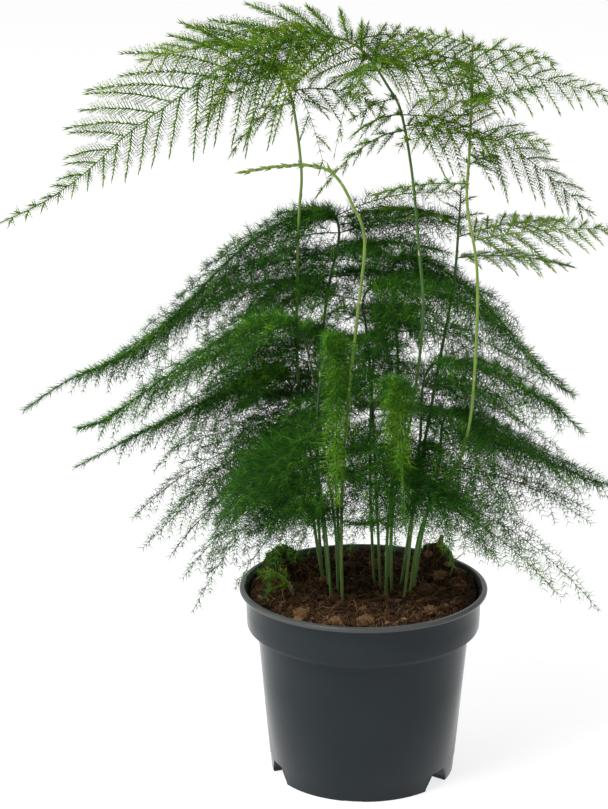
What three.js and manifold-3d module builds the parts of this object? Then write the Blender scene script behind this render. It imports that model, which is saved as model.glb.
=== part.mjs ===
// A lace fern (Asparagus setaceus, an asparagus with fern-like fronds) in its round plastic nursery pot.
// Millimetres, +Z up. The origin is the middle of the pot's flat foot, on the surface that it stands on.
// Azimuths are in degrees from +X towards +Y, and the front of the plant faces -Y.

import * as THREE from 'three';
import Module from 'manifold-3d';
import { mergeVertices } from 'three/addons/utils/BufferGeometryUtils.js';

const wasm = await Module();
wasm.setup();

// Pot
const POT_HEIGHT = 94.3;
const POT_SIDES = 36;
const WALL = 1.3;
const FLOOR = 1.6;
const RIM_RADIUS = 60;
const COLLAR_RADIUS = 56.8;
const COLLAR_FOOT_Z = 74.8;
const BODY_TOP_RADIUS = 51.3;
const BODY_FOOT_RADIUS = 44.6;

// The three drain channels under the pot: where they point, their trapezoid section and their inner end
const CHANNEL_AZIMUTHS = [-37, 83, 203];
const CHANNEL_FOOT_WIDTH = 17;
const CHANNEL_TOP_WIDTH = 9;
const CHANNEL_HEIGHT = 8;
const CHANNEL_START = 26;
const CHANNEL_END = 62;
const DRAIN_RADIUS = 3.6;
const DRAIN_DISTANCE = 35;

// The shallow recess in the edge of the front foot
const RECESS_AZIMUTH = 263;
const RECESS_SIZE = [3, 9, 0.8];

// Soil: its mean level, the heaps and hollows on it as [x, y, spread, height], and its finer lumps
const GAP = 0.3;
const SOIL_LEVEL = 90.6;
const SOIL_RINGS = 11;
const SOIL_SIDES = 34;
const SOIL_EDGE = 54.7;
const SOIL_HEAPS = [
  [-40, 28, 12, 8.5],
  [38, 34, 11, 9.5],
  [-2, 46, 14, 3.5],
  [47, 10, 9, 4],
  [-46, -8, 10, 2],
  [-22, -38, 14, 1.5],
  [24, -40, 12, 1.4],
  [2, 4, 18, -5],
];
const LUMP_HEIGHT = 1.1;
const CRUMB_HEIGHT = 0.7;

// Stems, twigs and needles: radii, how far apart the side twigs of a spray leave it, the length past which a
// twig bears needles in two places, the shortest twig, and the length of needles
const STEM_FOOT_RADIUS = 0.85;
const STEM_TOP_RADIUS = 0.6;
const CROWN_TIP_RADIUS = 0.3;
const SPRAY_RADIUS = 0.5;
const SPRAY_TIP_RADIUS = 0.28;
const TWIG_RADIUS = 0.3;
const ROOT_HALF_WIDTH = 0.3;
const TWIG_SPACING = 19;
const LONG_TWIG = 25;
const SHORTEST_TWIG = 7.5;
const DENSE_NEEDLE = 6.8;
const YOUNG_NEEDLE = 4.8;
const SPRAY_STEPS = 4;

// Where a twig would cross another stem's twigs, it is cut back to the first of these shares that is clear
const TWIG_SHARES = [1, 0.72, 0.48];
const TWIG_SAG = 0.2;
const TWIG_CLEARANCE = 0.3;

const DARK_GREEN = 0x2f5a22;
const MID_GREEN = 0x4b7a30;
const YOUNG_GREEN = 0x86a850;
const POT_GREY = 0x3b4246;
const SOIL_BROWN = 0x4a3020;

// Each stem has a route from the soil up, and from the share `crown` of it on, it bears side twigs itself:
// up to `width` long, in the plane that faces `facing`. A spray is [height on the stem, azimuth, reach,
// slope at its start, height of its tip over its start, longest side twig, roll of its plane]. A twig's tip
// hangs by a share of its length: TWIG_SAG, or its stem's own `sag`.
const STEMS = {
  stem_tall_arching: {
    colour: MID_GREEN, needle: YOUNG_NEEDLE, crown: 0.42, width: 52, steps: 30,
    facing: [0, -0.6, 0.7], tipFacing: [0, -1, 0],
    route: [
      [14, 6, 82], [14, 2, 132], [22, -12, 185], [26, -22, 232], [24, -20, 262], [21, -9, 295],
      [16, -1, 323], [10, 0, 335], [-3, -2, 353], [-21, -4, 360], [-35, -6, 357], [-52, -8, 351],
      [-67, -10, 345], [-89, -13, 330], [-109, -16, 316], [-127, -20, 300], [-146, -24, 287],
      [-166, -28, 278],
    ],
    sprays: [
      [350, -8, 111, -2, -17, 36, 70], [322, 10, 92, -2, -51, 38, 65], [330, 182, 20, -5, -10, 10, 60],
      [315, 196, 42, 0, -28, 13, 40], [342, 78, 46, 20, -4, 22, 15], [346, 258, 40, 15, -12, 22, 20],
      [349, 200, 16, -20, -44, 14, 70],
    ],
  },
  stem_pale_left: {
    colour: YOUNG_GREEN, needle: YOUNG_NEEDLE, crown: 0.66, width: 30, facing: [0, -1, 0.5], steps: 16,
    route: [
      [-18, 17, 82], [-24, 19, 120], [-31, 18, 182], [-32, 16, 234], [-31, 14, 273], [-30, 12, 296],
      [-35, 8, 331], [-44, 6, 347], [-67, 2, 354], [-85, -4, 352], [-103, -8, 348],
    ],
    sprays: [
      [332, 14, 46, 10, -10, 22, 50], [338, 172, 42, 5, -24, 18, 60], [340, 100, 48, 15, -8, 22, 10],
      [326, 200, 30, 0, -22, 14, 50], [335, 325, 22, 0, -42, 14, 60],
    ],
  },
  stem_pale_right: {
    colour: YOUNG_GREEN, needle: YOUNG_NEEDLE, crown: 0.86, width: 12, facing: [0, -1, 0.2], steps: 16,
    route: [
      [22, 2, 82], [26, -2, 117], [32, -12, 139], [43, -24, 162], [48, -30, 186], [50, -31, 223],
      [50, -25, 257], [46, -12, 283], [47, -4, 304], [48, 0, 329], [48, 0, 358],
    ],
    sprays: [
      [352, 2, 38, 5, -6, 14, 50], [344, 200, 34, 25, 8, 13, 50], [328, 12, 32, 15, 6, 12, 50],
      [322, 180, 28, 5, -6, 13, 60], [338, 95, 36, 20, 4, 14, 20], [330, 280, 30, 15, 2, 12, 20],
      [268, 18, 74, 8, 0, 26, 40], [292, 200, 46, 8, -2, 10, 50], [300, 60, 30, 10, 0, 12, 30],
    ],
  },
  stem_dark_right: {
    colour: MID_GREEN, needle: YOUNG_NEEDLE, crown: 0.8, width: 16, facing: [0, -1, 1], steps: 12,
    route: [
      [18, 14, 82], [25, 16, 132], [35, 16, 195], [42, 16, 238], [44, 16, 266], [45, 16, 287],
    ],
    sprays: [
      [262, 30, 60, 12, 2, 26, 20], [270, 150, 60, 12, -4, 26, 20], [252, 350, 54, 10, -2, 20, 10],
    ],
  },
  shoot_bare: {
    colour: YOUNG_GREEN, needle: YOUNG_NEEDLE, crown: 1, width: 0, facing: [0, -1, 0], steps: 18,
    route: [
      [-10, -11, 82], [-11, -13, 121], [-10, -16, 166], [-7, -18, 202], [-4, -18, 233], [-1, -18, 268],
      [-7, -18, 285], [-14, -18, 297], [-23, -18, 302], [-40, -18, 302], [-58, -18, 299],
    ],
    sprays: [],
  },
  stem_dense_01: {
    colour: DARK_GREEN, needle: DENSE_NEEDLE, crown: 0.36, width: 34,
    facing: [0, -0.3, 1], steps: 20, sag: 0.4,
    route: [
      [-19, 24, 82], [-22, 26, 127], [-22, 27, 179], [-18, 25, 229], [-12, 24, 262], [-18, 24, 272],
      [-34, 23, 270], [-60, 20, 254], [-86, 16, 228], [-104, 13, 212], [-121, 11, 202], [-141, 9, 194],
      [-162, 7, 180],
    ],
    sprays: [
      [262, 12, 62, 14, 0, 28, 30], [250, 60, 60, 10, -12, 26, 0], [248, 172, 96, 10, -52, 34, -25],
      [235, 150, 90, 8, -30, 30, -10], [215, 205, 96, 8, -32, 32, -20], [240, 355, 78, 8, -8, 30, 35],
      [190, 186, 80, 5, -44, 28, -30],
    ],
  },
  stem_dense_02: {
    colour: DARK_GREEN, needle: DENSE_NEEDLE, crown: 0.42, width: 32,
    facing: [0, -0.35, 1], steps: 16, sag: 0.35,
    route: [
      [-12, 3, 82], [-14, 2, 126], [-20, 0, 167], [-24, -2, 197], [-31, -4, 223], [-45, -6, 228],
      [-62, -8, 222], [-94, -12, 201], [-120, -16, 183], [-134, -18, 178],
    ],
    sprays: [
      [212, 160, 80, 8, -30, 28, -20], [205, 20, 50, 12, -6, 26, 30], [190, 262, 50, 5, -40, 24, 0],
      [176, 225, 70, 0, -40, 28, -15], [150, 198, 72, 0, -45, 26, -30], [140, 246, 42, 0, -20, 22, 0],
    ],
  },
  stem_dense_03: {
    colour: DARK_GREEN, needle: DENSE_NEEDLE, crown: 0.42, width: 32,
    facing: [0, -0.3, 1], steps: 15, sag: 0.35,
    route: [
      [-16, 10, 82], [-20, 13, 123], [-27, 14, 163], [-34, 14, 188], [-42, 12, 198], [-59, 8, 193],
      [-81, 4, 182], [-109, 0, 169], [-137, -4, 155],
    ],
    sprays: [
      [180, 116, 70, 10, -20, 26, 0], [165, 188, 84, 4, -38, 30, -30], [150, 168, 72, 0, -52, 28, -20],
      [140, 206, 58, 0, -36, 26, -35], [172, 232, 66, 5, -38, 26, -10],
    ],
  },
  stem_dense_04: {
    colour: DARK_GREEN, needle: DENSE_NEEDLE, crown: 0.5, width: 15, steps: 15,
    facing: [0, 1, 1], tipFacing: [0, -1, 0.4],
    route: [
      [-15, -7, 82], [-18, -12, 121], [-22, -18, 158], [-22, -24, 194], [-19, -29, 216], [-16, -35, 226],
      [-14, -41, 221], [-14, -48, 203], [-14, -54, 172], [-13, -57, 155],
    ],
    sprays: [
      [175, 215, 62, 5, -50, 26, -10], [160, 240, 48, 0, -50, 24, 0], [150, 184, 60, 0, -62, 26, -35],
      [140, 204, 44, 0, -36, 22, -30], [142, 284, 34, 4, -8, 18, 0], [185, 302, 40, 10, -30, 22, 10],
    ],
  },
  stem_dense_05: {
    colour: DARK_GREEN, needle: DENSE_NEEDLE, crown: 0.45, width: 34,
    facing: [0, -0.45, 1], steps: 18, sag: 0.35,
    route: [
      [9, 12, 82], [6, 13, 143], [4, 14, 183], [1, 14, 217], [-1, 12, 230], [2, 8, 239], [11, 3, 243],
      [26, -1, 241], [44, -6, 237], [62, -8, 225], [85, -9, 201], [98, -10, 192],
    ],
    sprays: [
      [228, 335, 60, 10, -12, 28, 20], [232, 165, 50, 12, -6, 26, -30], [215, 265, 40, 10, -20, 22, 0],
      [198, 350, 66, 4, -30, 26, 30], [190, 192, 70, 6, -30, 28, -30], [175, 270, 50, 8, -26, 24, 0],
      [160, 346, 70, 5, -28, 26, 30],
    ],
  },
  stem_dense_06: {
    colour: DARK_GREEN, needle: DENSE_NEEDLE, crown: 0.45, width: 32,
    facing: [0, -0.3, 1], steps: 17, sag: 0.35,
    route: [
      [13, 21, 82], [15, 27, 138], [17, 30, 178], [16, 30, 213], [13, 30, 240], [18, 28, 249],
      [31, 26, 248], [51, 24, 234], [65, 20, 220], [84, 16, 200], [96, 14, 190],
    ],
    sprays: [
      [244, 175, 66, 14, 0, 28, -30], [236, 60, 70, 10, -20, 28, 0], [220, 100, 70, 8, -24, 28, 0],
      [212, 18, 72, 6, -26, 28, 25], [200, 201, 60, 6, -26, 28, -25], [180, 10, 84, 5, -34, 28, 30],
    ],
  },
  stem_dense_07: {
    colour: DARK_GREEN, needle: DENSE_NEEDLE, crown: 0.4, width: 32,
    facing: [0, -0.3, 1], steps: 16, sag: 0.35,
    route: [
      [19, -7, 82], [23, -8, 130], [26, -10, 170], [27, -12, 198], [33, -14, 209], [46, -16, 209],
      [61, -18, 205], [75, -20, 197], [89, -22, 189], [101, -24, 178],
    ],
    sprays: [
      [184, 350, 74, 2, -36, 26, 25], [180, 309, 64, 4, -34, 28, 15], [170, 285, 50, 0, -40, 24, 0],
      [196, 25, 50, 6, -16, 22, 25], [150, 310, 50, 2, -26, 20, 10], [160, 200, 56, 5, -24, 26, -20],
    ],
  },
  stem_dense_08: {
    colour: DARK_GREEN, needle: DENSE_NEEDLE, crown: 0.42, width: 30,
    facing: [0, -0.3, 1], steps: 16, sag: 0.35,
    route: [
      [24, 8, 82], [29, 10, 119], [36, 11, 149], [38, 12, 173], [44, 12, 178], [55, 10, 173], [73, 6, 163],
      [92, 2, 154], [110, -2, 147], [121, -4, 146],
    ],
    sprays: [
      [166, 5, 70, 4, -22, 24, 30], [160, 40, 80, 6, -26, 28, 10], [150, 345, 74, 4, -22, 28, 30],
      [134, 340, 84, -2, -46, 28, 30], [146, 312, 50, 2, -20, 22, 10],
    ],
  },
  stem_dense_09: {
    colour: DARK_GREEN, needle: DENSE_NEEDLE, crown: 0.44, width: 16, steps: 14,
    facing: [0, 1, 1], tipFacing: [0, -1, 0.4],
    route: [
      [11, -3, 82], [11, -8, 120], [13, -16, 157], [13, -23, 184], [13, -30, 199], [13, -38, 206],
      [14, -46, 199], [15, -52, 180], [18, -57, 140],
    ],
    sprays: [
      [175, 300, 52, 0, -48, 24, 0], [162, 319, 60, 2, -34, 24, 15], [188, 255, 44, 5, -40, 22, 0],
      [145, 344, 82, 0, -44, 26, 30], [142, 272, 36, 2, -12, 20, 0], [152, 240, 40, 4, -22, 22, -10],
    ],
  },
  stem_dense_10: {
    colour: DARK_GREEN, needle: DENSE_NEEDLE, crown: 0.5, width: 28, facing: [0, 0.3, 1], steps: 14,
    route: [
      [6, 19, 82], [4, 28, 128], [4, 38, 162], [5, 46, 190], [9, 54, 208], [15, 65, 215], [23, 80, 208],
      [31, 96, 190],
    ],
    sprays: [
      [200, 110, 76, 8, -30, 28, 0], [186, 20, 80, 6, -30, 28, 20], [170, 62, 78, 4, -34, 28, 0],
      [150, 95, 80, 2, -50, 28, 0], [140, 35, 80, 0, -50, 26, 10],
    ],
  },
  stem_dense_11: {
    colour: DARK_GREEN, needle: DENSE_NEEDLE, crown: 0.5, width: 28, facing: [0, 0.3, 1], steps: 14,
    route: [
      [-11, 17, 82], [-12, 27, 117], [-14, 36, 151], [-16, 46, 179], [-18, 58, 196], [-21, 72, 203],
      [-26, 88, 201], [-32, 104, 190],
    ],
    sprays: [
      [186, 150, 80, 6, -34, 28, -15], [176, 80, 70, 4, -44, 28, 0], [160, 175, 84, 2, -50, 28, -20],
      [145, 130, 84, 0, -56, 26, 0],
    ],
  },
  shoot_low: {
    colour: YOUNG_GREEN, needle: YOUNG_NEEDLE, crown: 0.35, width: 9, facing: [0, -1, 1], steps: 8,
    route: [
      [-33, -6, 84], [-35, -6, 95], [-41, -4, 101], [-50, -1, 101],
    ],
    sprays: [
      [96, 150, 14, 30, 4, 7, 20],
    ],
  },
};

const UP = new THREE.Vector3(0, 0, 1);

// Repeatable draw between 0 and 1 for a pair of numbers.
function draw(a, b) {
  const value = Math.sin(a * 12.9898 + b * 78.233) * 43758.5453;
  return value - Math.floor(value);
}

// A geometry as a solid. Faces that shrink to nothing at an axis are dropped.
function solidOf(geometry) {
  const bare = geometry.clone();
  bare.deleteAttribute('normal');
  bare.deleteAttribute('uv');
  const merged = mergeVertices(bare, 1e-5);
  const faces = [];
  for (let i = 0; i < merged.index.count; i += 3) {
    const [a, b, c] = merged.index.array.slice(i, i + 3);
    if (a !== b && b !== c && c !== a) faces.push(a, b, c);
  }
  return new wasm.Manifold(new wasm.Mesh({
    numProp: 3,
    vertProperties: new Float32Array(merged.getAttribute('position').array),
    triVerts: new Uint32Array(faces),
  }));
}

function meshOf(name, solid, colour, roughness) {
  const { vertProperties, triVerts } = solid.getMesh();
  const geometry = new THREE.BufferGeometry();
  geometry.setAttribute('position', new THREE.BufferAttribute(new Float32Array(vertProperties), 3));
  geometry.setIndex(new THREE.BufferAttribute(new Uint32Array(triVerts), 1));
  geometry.computeVertexNormals();
  const mesh = new THREE.Mesh(geometry, new THREE.MeshStandardMaterial({ color: colour, roughness }));
  mesh.name = name;
  return mesh;
}

// Joins solids two by two, so that small ones meet small ones first.
function joined(solids) {
  let rest = solids;
  while (rest.length > 1) {
    const next = [];
    for (let i = 0; i + 1 < rest.length; i += 2) next.push(rest[i].add(rest[i + 1]));
    if (rest.length % 2) next.push(rest[rest.length - 1]);
    rest = next;
  }
  return rest[0];
}

// The body that is left when loose scraps, which a cut can leave, are dropped.
function largestBody(solid) {
  const bodies = solid.decompose();
  return bodies.reduce((a, b) => (a.volume() > b.volume() ? a : b));
}

// A closed solid turned about the Z axis from [radius, height] points, from the lower axis point up.
function turned(profile, sides) {
  const points = profile.map(([radius, height]) => new THREE.Vector2(radius, height));
  return solidOf(new THREE.LatheGeometry(points, sides).rotateX(Math.PI / 2));
}

// A mesh of four-sided limbs. A limb starts on a ring of four corners, passes through stations and ends in
// a tip, and a branch starts on the ring that the two corners of one side make with their neighbours.
class Limbs {
  positions = [];

  faces = [];

  corner(point) {
    this.positions.push(point.x, point.y, point.z);
    return this.positions.length / 3 - 1;
  }

  ring(place, ways, radius) {
    return ways.map((way) => this.corner(place.clone().addScaledVector(way, radius)));
  }

  // The skin between two rings.
  skin(near, far) {
    for (let d = 0; d < 4; d++) {
      const e = (d + 1) % 4;
      this.faces.push(near[d], near[e], far[e], near[d], far[e], far[d]);
    }
  }

  // A limb from a ring through its stations to its tip. A ring's first corner looks to its `side`.
  grow(ring, { stations, tip }) {
    let near = ring;
    for (const { place, along, side, radius, branches = [] } of stations) {
      const ways = crossWays(along, side);
      const aft = this.ring(place, ways, radius);
      const fore = [...aft];
      branches.forEach((branch, d) => {
        if (!branch) return;
        const foot = place.clone().addScaledVector(ways[d], radius);
        aft[d] = this.corner(foot.clone().addScaledVector(along, -ROOT_HALF_WIDTH));
        fore[d] = this.corner(foot.clone().addScaledVector(along, ROOT_HALF_WIDTH));
      });
      this.skin(near, aft);
      branches.forEach((branch, d) => {
        if (!branch) return;
        const [left, right] = [(d + 1) % 4, (d + 3) % 4];
        this.grow([aft[left], fore[d], aft[right], aft[d]], branch);
      });
      near = fore;
    }
    const end = this.corner(tip);
    for (let d = 0; d < 4; d++) this.faces.push(near[d], near[(d + 1) % 4], end);
  }

  // A limb with a closed root of its own.
  start({ place, along, side, radius }, limb) {
    const ring = this.ring(place, crossWays(along, side), radius);
    this.faces.push(ring[2], ring[1], ring[0], ring[3], ring[2], ring[0]);
    this.grow(ring, limb);
    return this;
  }

  solid() {
    const geometry = new THREE.BufferGeometry();
    geometry.setAttribute('position', new THREE.Float32BufferAttribute(this.positions, 3));
    geometry.setIndex(this.faces);
    return solidOf(geometry);
  }
}

// The four ways out from a limb, in turn about it, the first as near as can be to `side`.
function crossWays(along, side) {
  const first = side.clone().addScaledVector(along, -side.dot(along)).normalize();
  const second = new THREE.Vector3().crossVectors(along, first);
  return [first, second, first.clone().negate(), second.clone().negate()];
}

// A drain channel's solid, pointing outwards at an azimuth; `extra` thickens it on every side but the floor.
function channel(azimuth, extra) {
  const foot = CHANNEL_FOOT_WIDTH / 2 + extra;
  const top = CHANNEL_TOP_WIDTH / 2 + extra;
  const section = new THREE.Shape([
    new THREE.Vector2(-foot, -2), new THREE.Vector2(foot, -2), new THREE.Vector2(foot, 1.5),
    new THREE.Vector2(top, CHANNEL_HEIGHT + extra), new THREE.Vector2(-top, CHANNEL_HEIGHT + extra),
    new THREE.Vector2(-foot, 1.5),
  ]);
  const start = CHANNEL_START - extra;
  return solidOf(new THREE.ExtrudeGeometry(section, { depth: CHANNEL_END - start, bevelEnabled: false })
    .translate(0, 0, start)
    .rotateX(Math.PI / 2)
    .rotateZ(THREE.MathUtils.degToRad(azimuth + 90)));
}

function potShape() {
  const outside = turned([
    [0, 0], [BODY_FOOT_RADIUS, 0], [BODY_TOP_RADIUS, COLLAR_FOOT_Z - 2],
    [COLLAR_RADIUS - 1.2, COLLAR_FOOT_Z - 0.7], [COLLAR_RADIUS - 0.4, COLLAR_FOOT_Z + 1],
    [COLLAR_RADIUS, POT_HEIGHT - 3], [RIM_RADIUS - 0.6, POT_HEIGHT - 2.6], [RIM_RADIUS, POT_HEIGHT - 1.2],
    [RIM_RADIUS - 1, POT_HEIGHT], [0, POT_HEIGHT],
  ], POT_SIDES);
  const inside = turned([
    [0, FLOOR], [BODY_FOOT_RADIUS - WALL, FLOOR], [BODY_TOP_RADIUS - WALL, COLLAR_FOOT_Z - 1],
    [COLLAR_RADIUS - WALL - 1, COLLAR_FOOT_Z + 0.8], [COLLAR_RADIUS - WALL, POT_HEIGHT - 2],
    [RIM_RADIUS - 2.6, POT_HEIGHT + 0.2], [0, POT_HEIGHT + 0.2],
  ], POT_SIDES);
  let shell = outside;
  let cavity = inside;
  for (const azimuth of CHANNEL_AZIMUTHS) {
    shell = shell.subtract(channel(azimuth, 0));
    cavity = cavity.subtract(channel(azimuth, WALL));
  }
  shell = shell.subtract(cavity);
  for (const azimuth of CHANNEL_AZIMUTHS) {
    const turn = THREE.MathUtils.degToRad(azimuth);
    shell = shell.subtract(solidOf(new THREE.CylinderGeometry(DRAIN_RADIUS, DRAIN_RADIUS, 6, 12)
      .rotateX(Math.PI / 2)
      .translate(DRAIN_DISTANCE * Math.cos(turn), DRAIN_DISTANCE * Math.sin(turn), CHANNEL_HEIGHT)));
  }
  const recess = THREE.MathUtils.degToRad(RECESS_AZIMUTH);
  return shell.subtract(solidOf(new THREE.BoxGeometry(...RECESS_SIZE)
    .rotateZ(recess)
    .translate(BODY_FOOT_RADIUS * Math.cos(recess), BODY_FOOT_RADIUS * Math.sin(recess), 0)));
}

// Height of the soil's surface over a point.
function soilHeight(x, y) {
  const heaps = SOIL_HEAPS.reduce((sum, [cx, cy, spread, height]) => {
    const distance = Math.hypot(x - cx, y - cy) / spread;
    return sum + height * Math.exp(-distance * distance);
  }, 0);
  const lumps = LUMP_HEIGHT * Math.sin(x * 0.42 + 1.3) * Math.sin(y * 0.37 + 0.4);
  const crumbs = CRUMB_HEIGHT * Math.sin(x * 0.9 + y * 0.4) * Math.sin(y * 0.83 - x * 0.3 + 2);
  return SOIL_LEVEL + heaps + lumps + crumbs;
}

function soilShape() {
  const wall = WALL + GAP;
  const side = [
    [0, FLOOR + GAP], [BODY_FOOT_RADIUS - wall, FLOOR + GAP], [BODY_TOP_RADIUS - wall, COLLAR_FOOT_Z - 0.7],
    [COLLAR_RADIUS - wall - 1, COLLAR_FOOT_Z + 1.1],
  ];
  const top = Array.from({ length: SOIL_RINGS }, (_, i) => {
    return [SOIL_EDGE * (1 - i / (SOIL_RINGS - 1)), POT_HEIGHT];
  });
  const points = [...side, ...top].map(([radius, height]) => new THREE.Vector2(radius, height));
  const geometry = new THREE.LatheGeometry(points, SOIL_SIDES).rotateX(Math.PI / 2);
  const position = geometry.getAttribute('position');
  for (let i = 0; i < position.count; i++) {
    if (position.getZ(i) > POT_HEIGHT - 1) {
      position.setZ(i, soilHeight(position.getX(i), position.getY(i)));
    }
  }
  return CHANNEL_AZIMUTHS.reduce(
    (soil, azimuth) => soil.subtract(channel(azimuth, wall + 0.1)),
    solidOf(geometry),
  );
}

// Distance between two straight stretches, each from a start to an end.
function stretchDistance(a, b, c, d) {
  const u = b.clone().sub(a);
  const v = d.clone().sub(c);
  const w = a.clone().sub(c);
  const uu = u.dot(u);
  const vv = v.dot(v);
  const uv = u.dot(v);
  const uw = u.dot(w);
  const vw = v.dot(w);
  const spread = uu * vv - uv * uv;
  const clamp = THREE.MathUtils.clamp;
  let s = spread > 1e-9 ? clamp((uv * vw - vv * uw) / spread, 0, 1) : 0;
  const t = clamp((uv * s + vw) / vv, 0, 1);
  s = clamp((uv * t - uw) / uu, 0, 1);
  return w.clone().addScaledVector(u, s).addScaledVector(v, -t).length();
}

// Every stretch that is already placed. Its owner is { stem, bough, twig }: the bough is the crown or a spray
// of the stem, and the twig's number is -1 on the bough's own axis.
const placed = [];

function place(owner, line, radius) {
  for (let i = 0; i + 1 < line.length; i++) placed.push({ ...owner, a: line[i], b: line[i + 1], radius });
}

// The room between a line and the nearest placed stretch that counts, past both thicknesses.
function roomAround(line, radius, counts) {
  let room = Infinity;
  for (let i = 0; i + 1 < line.length; i++) {
    const reach = line[i].distanceTo(line[i + 1]);
    for (const other of placed) {
      if (!counts(other)) continue;
      const near = line[i].distanceTo(other.a) - reach - other.a.distanceTo(other.b) - radius - other.radius;
      if (near > Math.min(room, 3)) continue;
      const distance = stretchDistance(line[i], line[i + 1], other.a, other.b);
      room = Math.min(room, distance - radius - other.radius);
    }
  }
  return room;
}

// Where a stem's curve first reaches a height.
function pointAtHeight(curve, height) {
  for (let i = 0; i <= 400; i++) {
    const point = curve.getPoint(i / 400);
    if (point.z >= height) return point;
  }
  return curve.getPoint(1);
}

// A spray's axis leaves the stem at a slope and droops to its tip along a parabola.
function sprayAxis(start, azimuth, reach, slope, rise) {
  const turn = THREE.MathUtils.degToRad(azimuth);
  const climb = reach * Math.tan(THREE.MathUtils.degToRad(slope));
  return (t) => new THREE.Vector3(
    start.x + reach * t * Math.cos(turn),
    start.y + reach * t * Math.sin(turn),
    start.z + climb * t + (rise - climb) * t * t,
  );
}

// The direction of an axis at a share of its length.
function alongAt(axis, share) {
  return axis(Math.min(1, share + 0.01)).sub(axis(Math.max(0, share - 0.01))).normalize();
}

// The side twigs of an axis, left and right by turns: longest a quarter of the way along it, and no longer
// than a needle on its slender last part.
function sideTwigs(axis, reach, width, normalAt, spacing) {
  const count = Math.max(3, Math.round(reach / spacing));
  return Array.from({ length: count }, (_, i) => {
    const share = 0.05 + (0.93 * i) / (count - 0.5);
    const along = alongAt(axis, share);
    const sideways = sidewaysOf(normalAt, along, share);
    const angle = THREE.MathUtils.degToRad(58 - 24 * share);
    const direction = along.clone().multiplyScalar(Math.cos(angle))
      .addScaledVector(sideways, (i % 2 ? -1 : 1) * Math.sin(angle))
      .normalize();
    const swell = Math.min(1, 0.5 + 2.2 * share, (0.92 - share) / 0.3);
    const length = Math.max(SHORTEST_TWIG, width * swell * (1 - share) ** 0.75);
    return { place: axis(share), share, along, direction, length };
  });
}

// The normal of a spray's plane: straight up from its axis, rolled about it.
function rolledNormal(roll) {
  const turn = THREE.MathUtils.degToRad(roll);
  return (along) => UP.clone().addScaledVector(along, -along.z).normalize().applyAxisAngle(along, turn);
}

// The normal of a crown's plane: across its axis, as near as can be to the way that it faces, which may
// change on the way to its tip.
function facingNormal({ facing, tipFacing = facing }) {
  return (along, share = 0) => {
    const wanted = new THREE.Vector3(...facing).lerp(new THREE.Vector3(...tipFacing), share);
    return wanted.addScaledVector(along, -wanted.dot(along)).normalize();
  };
}

// A needle from a twig's side: its line, leaning towards the twig's tip.
function needleLine(root, way, along, length) {
  return [root, root.clone().addScaledVector(way, 0.8 * length).addScaledVector(along, 0.6 * length)];
}

// Whether a twig or needle is clear of the other stems, and its outer part of the rest of its own bough.
function isClear(owner, [root, tip]) {
  const outer = [root.clone().lerp(tip, 0.3), tip];
  return roomAround([root, tip], TWIG_RADIUS, ({ stem }) => stem !== owner.stem) >= TWIG_CLEARANCE
    && roomAround(outer, TWIG_RADIUS, ({ bough, twig }) => bough === owner.bough && twig !== owner.twig) >= 0;
}

// A twig with pairs of needles on two of its sides, cut back or left out where it would cross something.
function twigLimb(owner, root, direction, length, side, needle) {
  const { sag = TWIG_SAG } = STEMS[owner.stem];
  for (const share of TWIG_SHARES) {
    const tip = root.clone().addScaledVector(direction, length * share);
    tip.z -= sag * length * share;
    if (!isClear(owner, [root, tip])) continue;
    place(owner, [root, tip], TWIG_RADIUS);
    const along = tip.clone().sub(root).normalize();
    const ways = crossWays(along, side);
    const shares = length * share > LONG_TWIG ? [0.42, 0.8] : [0.62];
    const stations = shares.map((at, i) => {
      const foot = root.clone().lerp(tip, at);
      const branches = [null, null, null, null];
      for (const d of (owner.twig + i) % 2 ? [0, 2] : [1, 3]) {
        const line = needleLine(foot, ways[d], along, needle * (0.85 + 0.3 * draw(owner.twig, d + i)));
        if (!isClear(owner, line)) continue;
        place(owner, line, TWIG_RADIUS);
        branches[d] = { stations: [], tip: line[1] };
      }
      return { place: foot, along, side, radius: TWIG_RADIUS * (1 - 0.35 * at), branches };
    });
    return { stations, tip };
  }
  return null;
}

// The stations of an axis that bears side twigs.
function twigStations(bough, twigs, normalAt, startRadius, endRadius, needle) {
  return twigs.map(({ place: foot, share, along, direction, length }, i) => {
    const face = normalAt(along, share).multiplyScalar(i % 2 ? -1 : 1);
    const branches = [null, null, null, null];
    branches[i % 2 ? 2 : 0] = twigLimb({ ...bough, twig: i }, foot, direction, length, face, needle);
    const radius = THREE.MathUtils.lerp(startRadius, endRadius, share);
    return { place: foot, along, side: sidewaysOf(normalAt, along, share), radius, branches };
  });
}

const curves = {};
for (const [name, { route, steps }] of Object.entries(STEMS)) {
  const points = route.map((point) => new THREE.Vector3(...point));
  curves[name] = new THREE.CatmullRomCurve3(points, false, 'catmullrom', 0.5);
  place({ stem: name, bough: name, twig: -1 }, curves[name].getPoints(steps), STEM_TOP_RADIUS);
}

// The sprays' axes are settled for every stem before any side twig.
const axes = {};
for (const [name, { sprays }] of Object.entries(STEMS)) {
  axes[name] = sprays.map(([height, azimuth, reach, slope, rise, width, roll], number) => {
    const start = pointAtHeight(curves[name], height);
    const bough = { stem: name, bough: `${name} ${number}`, twig: -1 };
    const axis = sprayAxis(start, azimuth, reach, slope, rise);
    place(bough, Array.from({ length: SPRAY_STEPS + 1 }, (_, i) => axis(i / SPRAY_STEPS)), SPRAY_RADIUS);
    return { bough, axis, reach, width, roll };
  });
}

// The sideways direction of an axis in the plane with the given normal.
function sidewaysOf(normalAt, along, share) {
  return new THREE.Vector3().crossVectors(normalAt(along, share), along).normalize();
}

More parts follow.
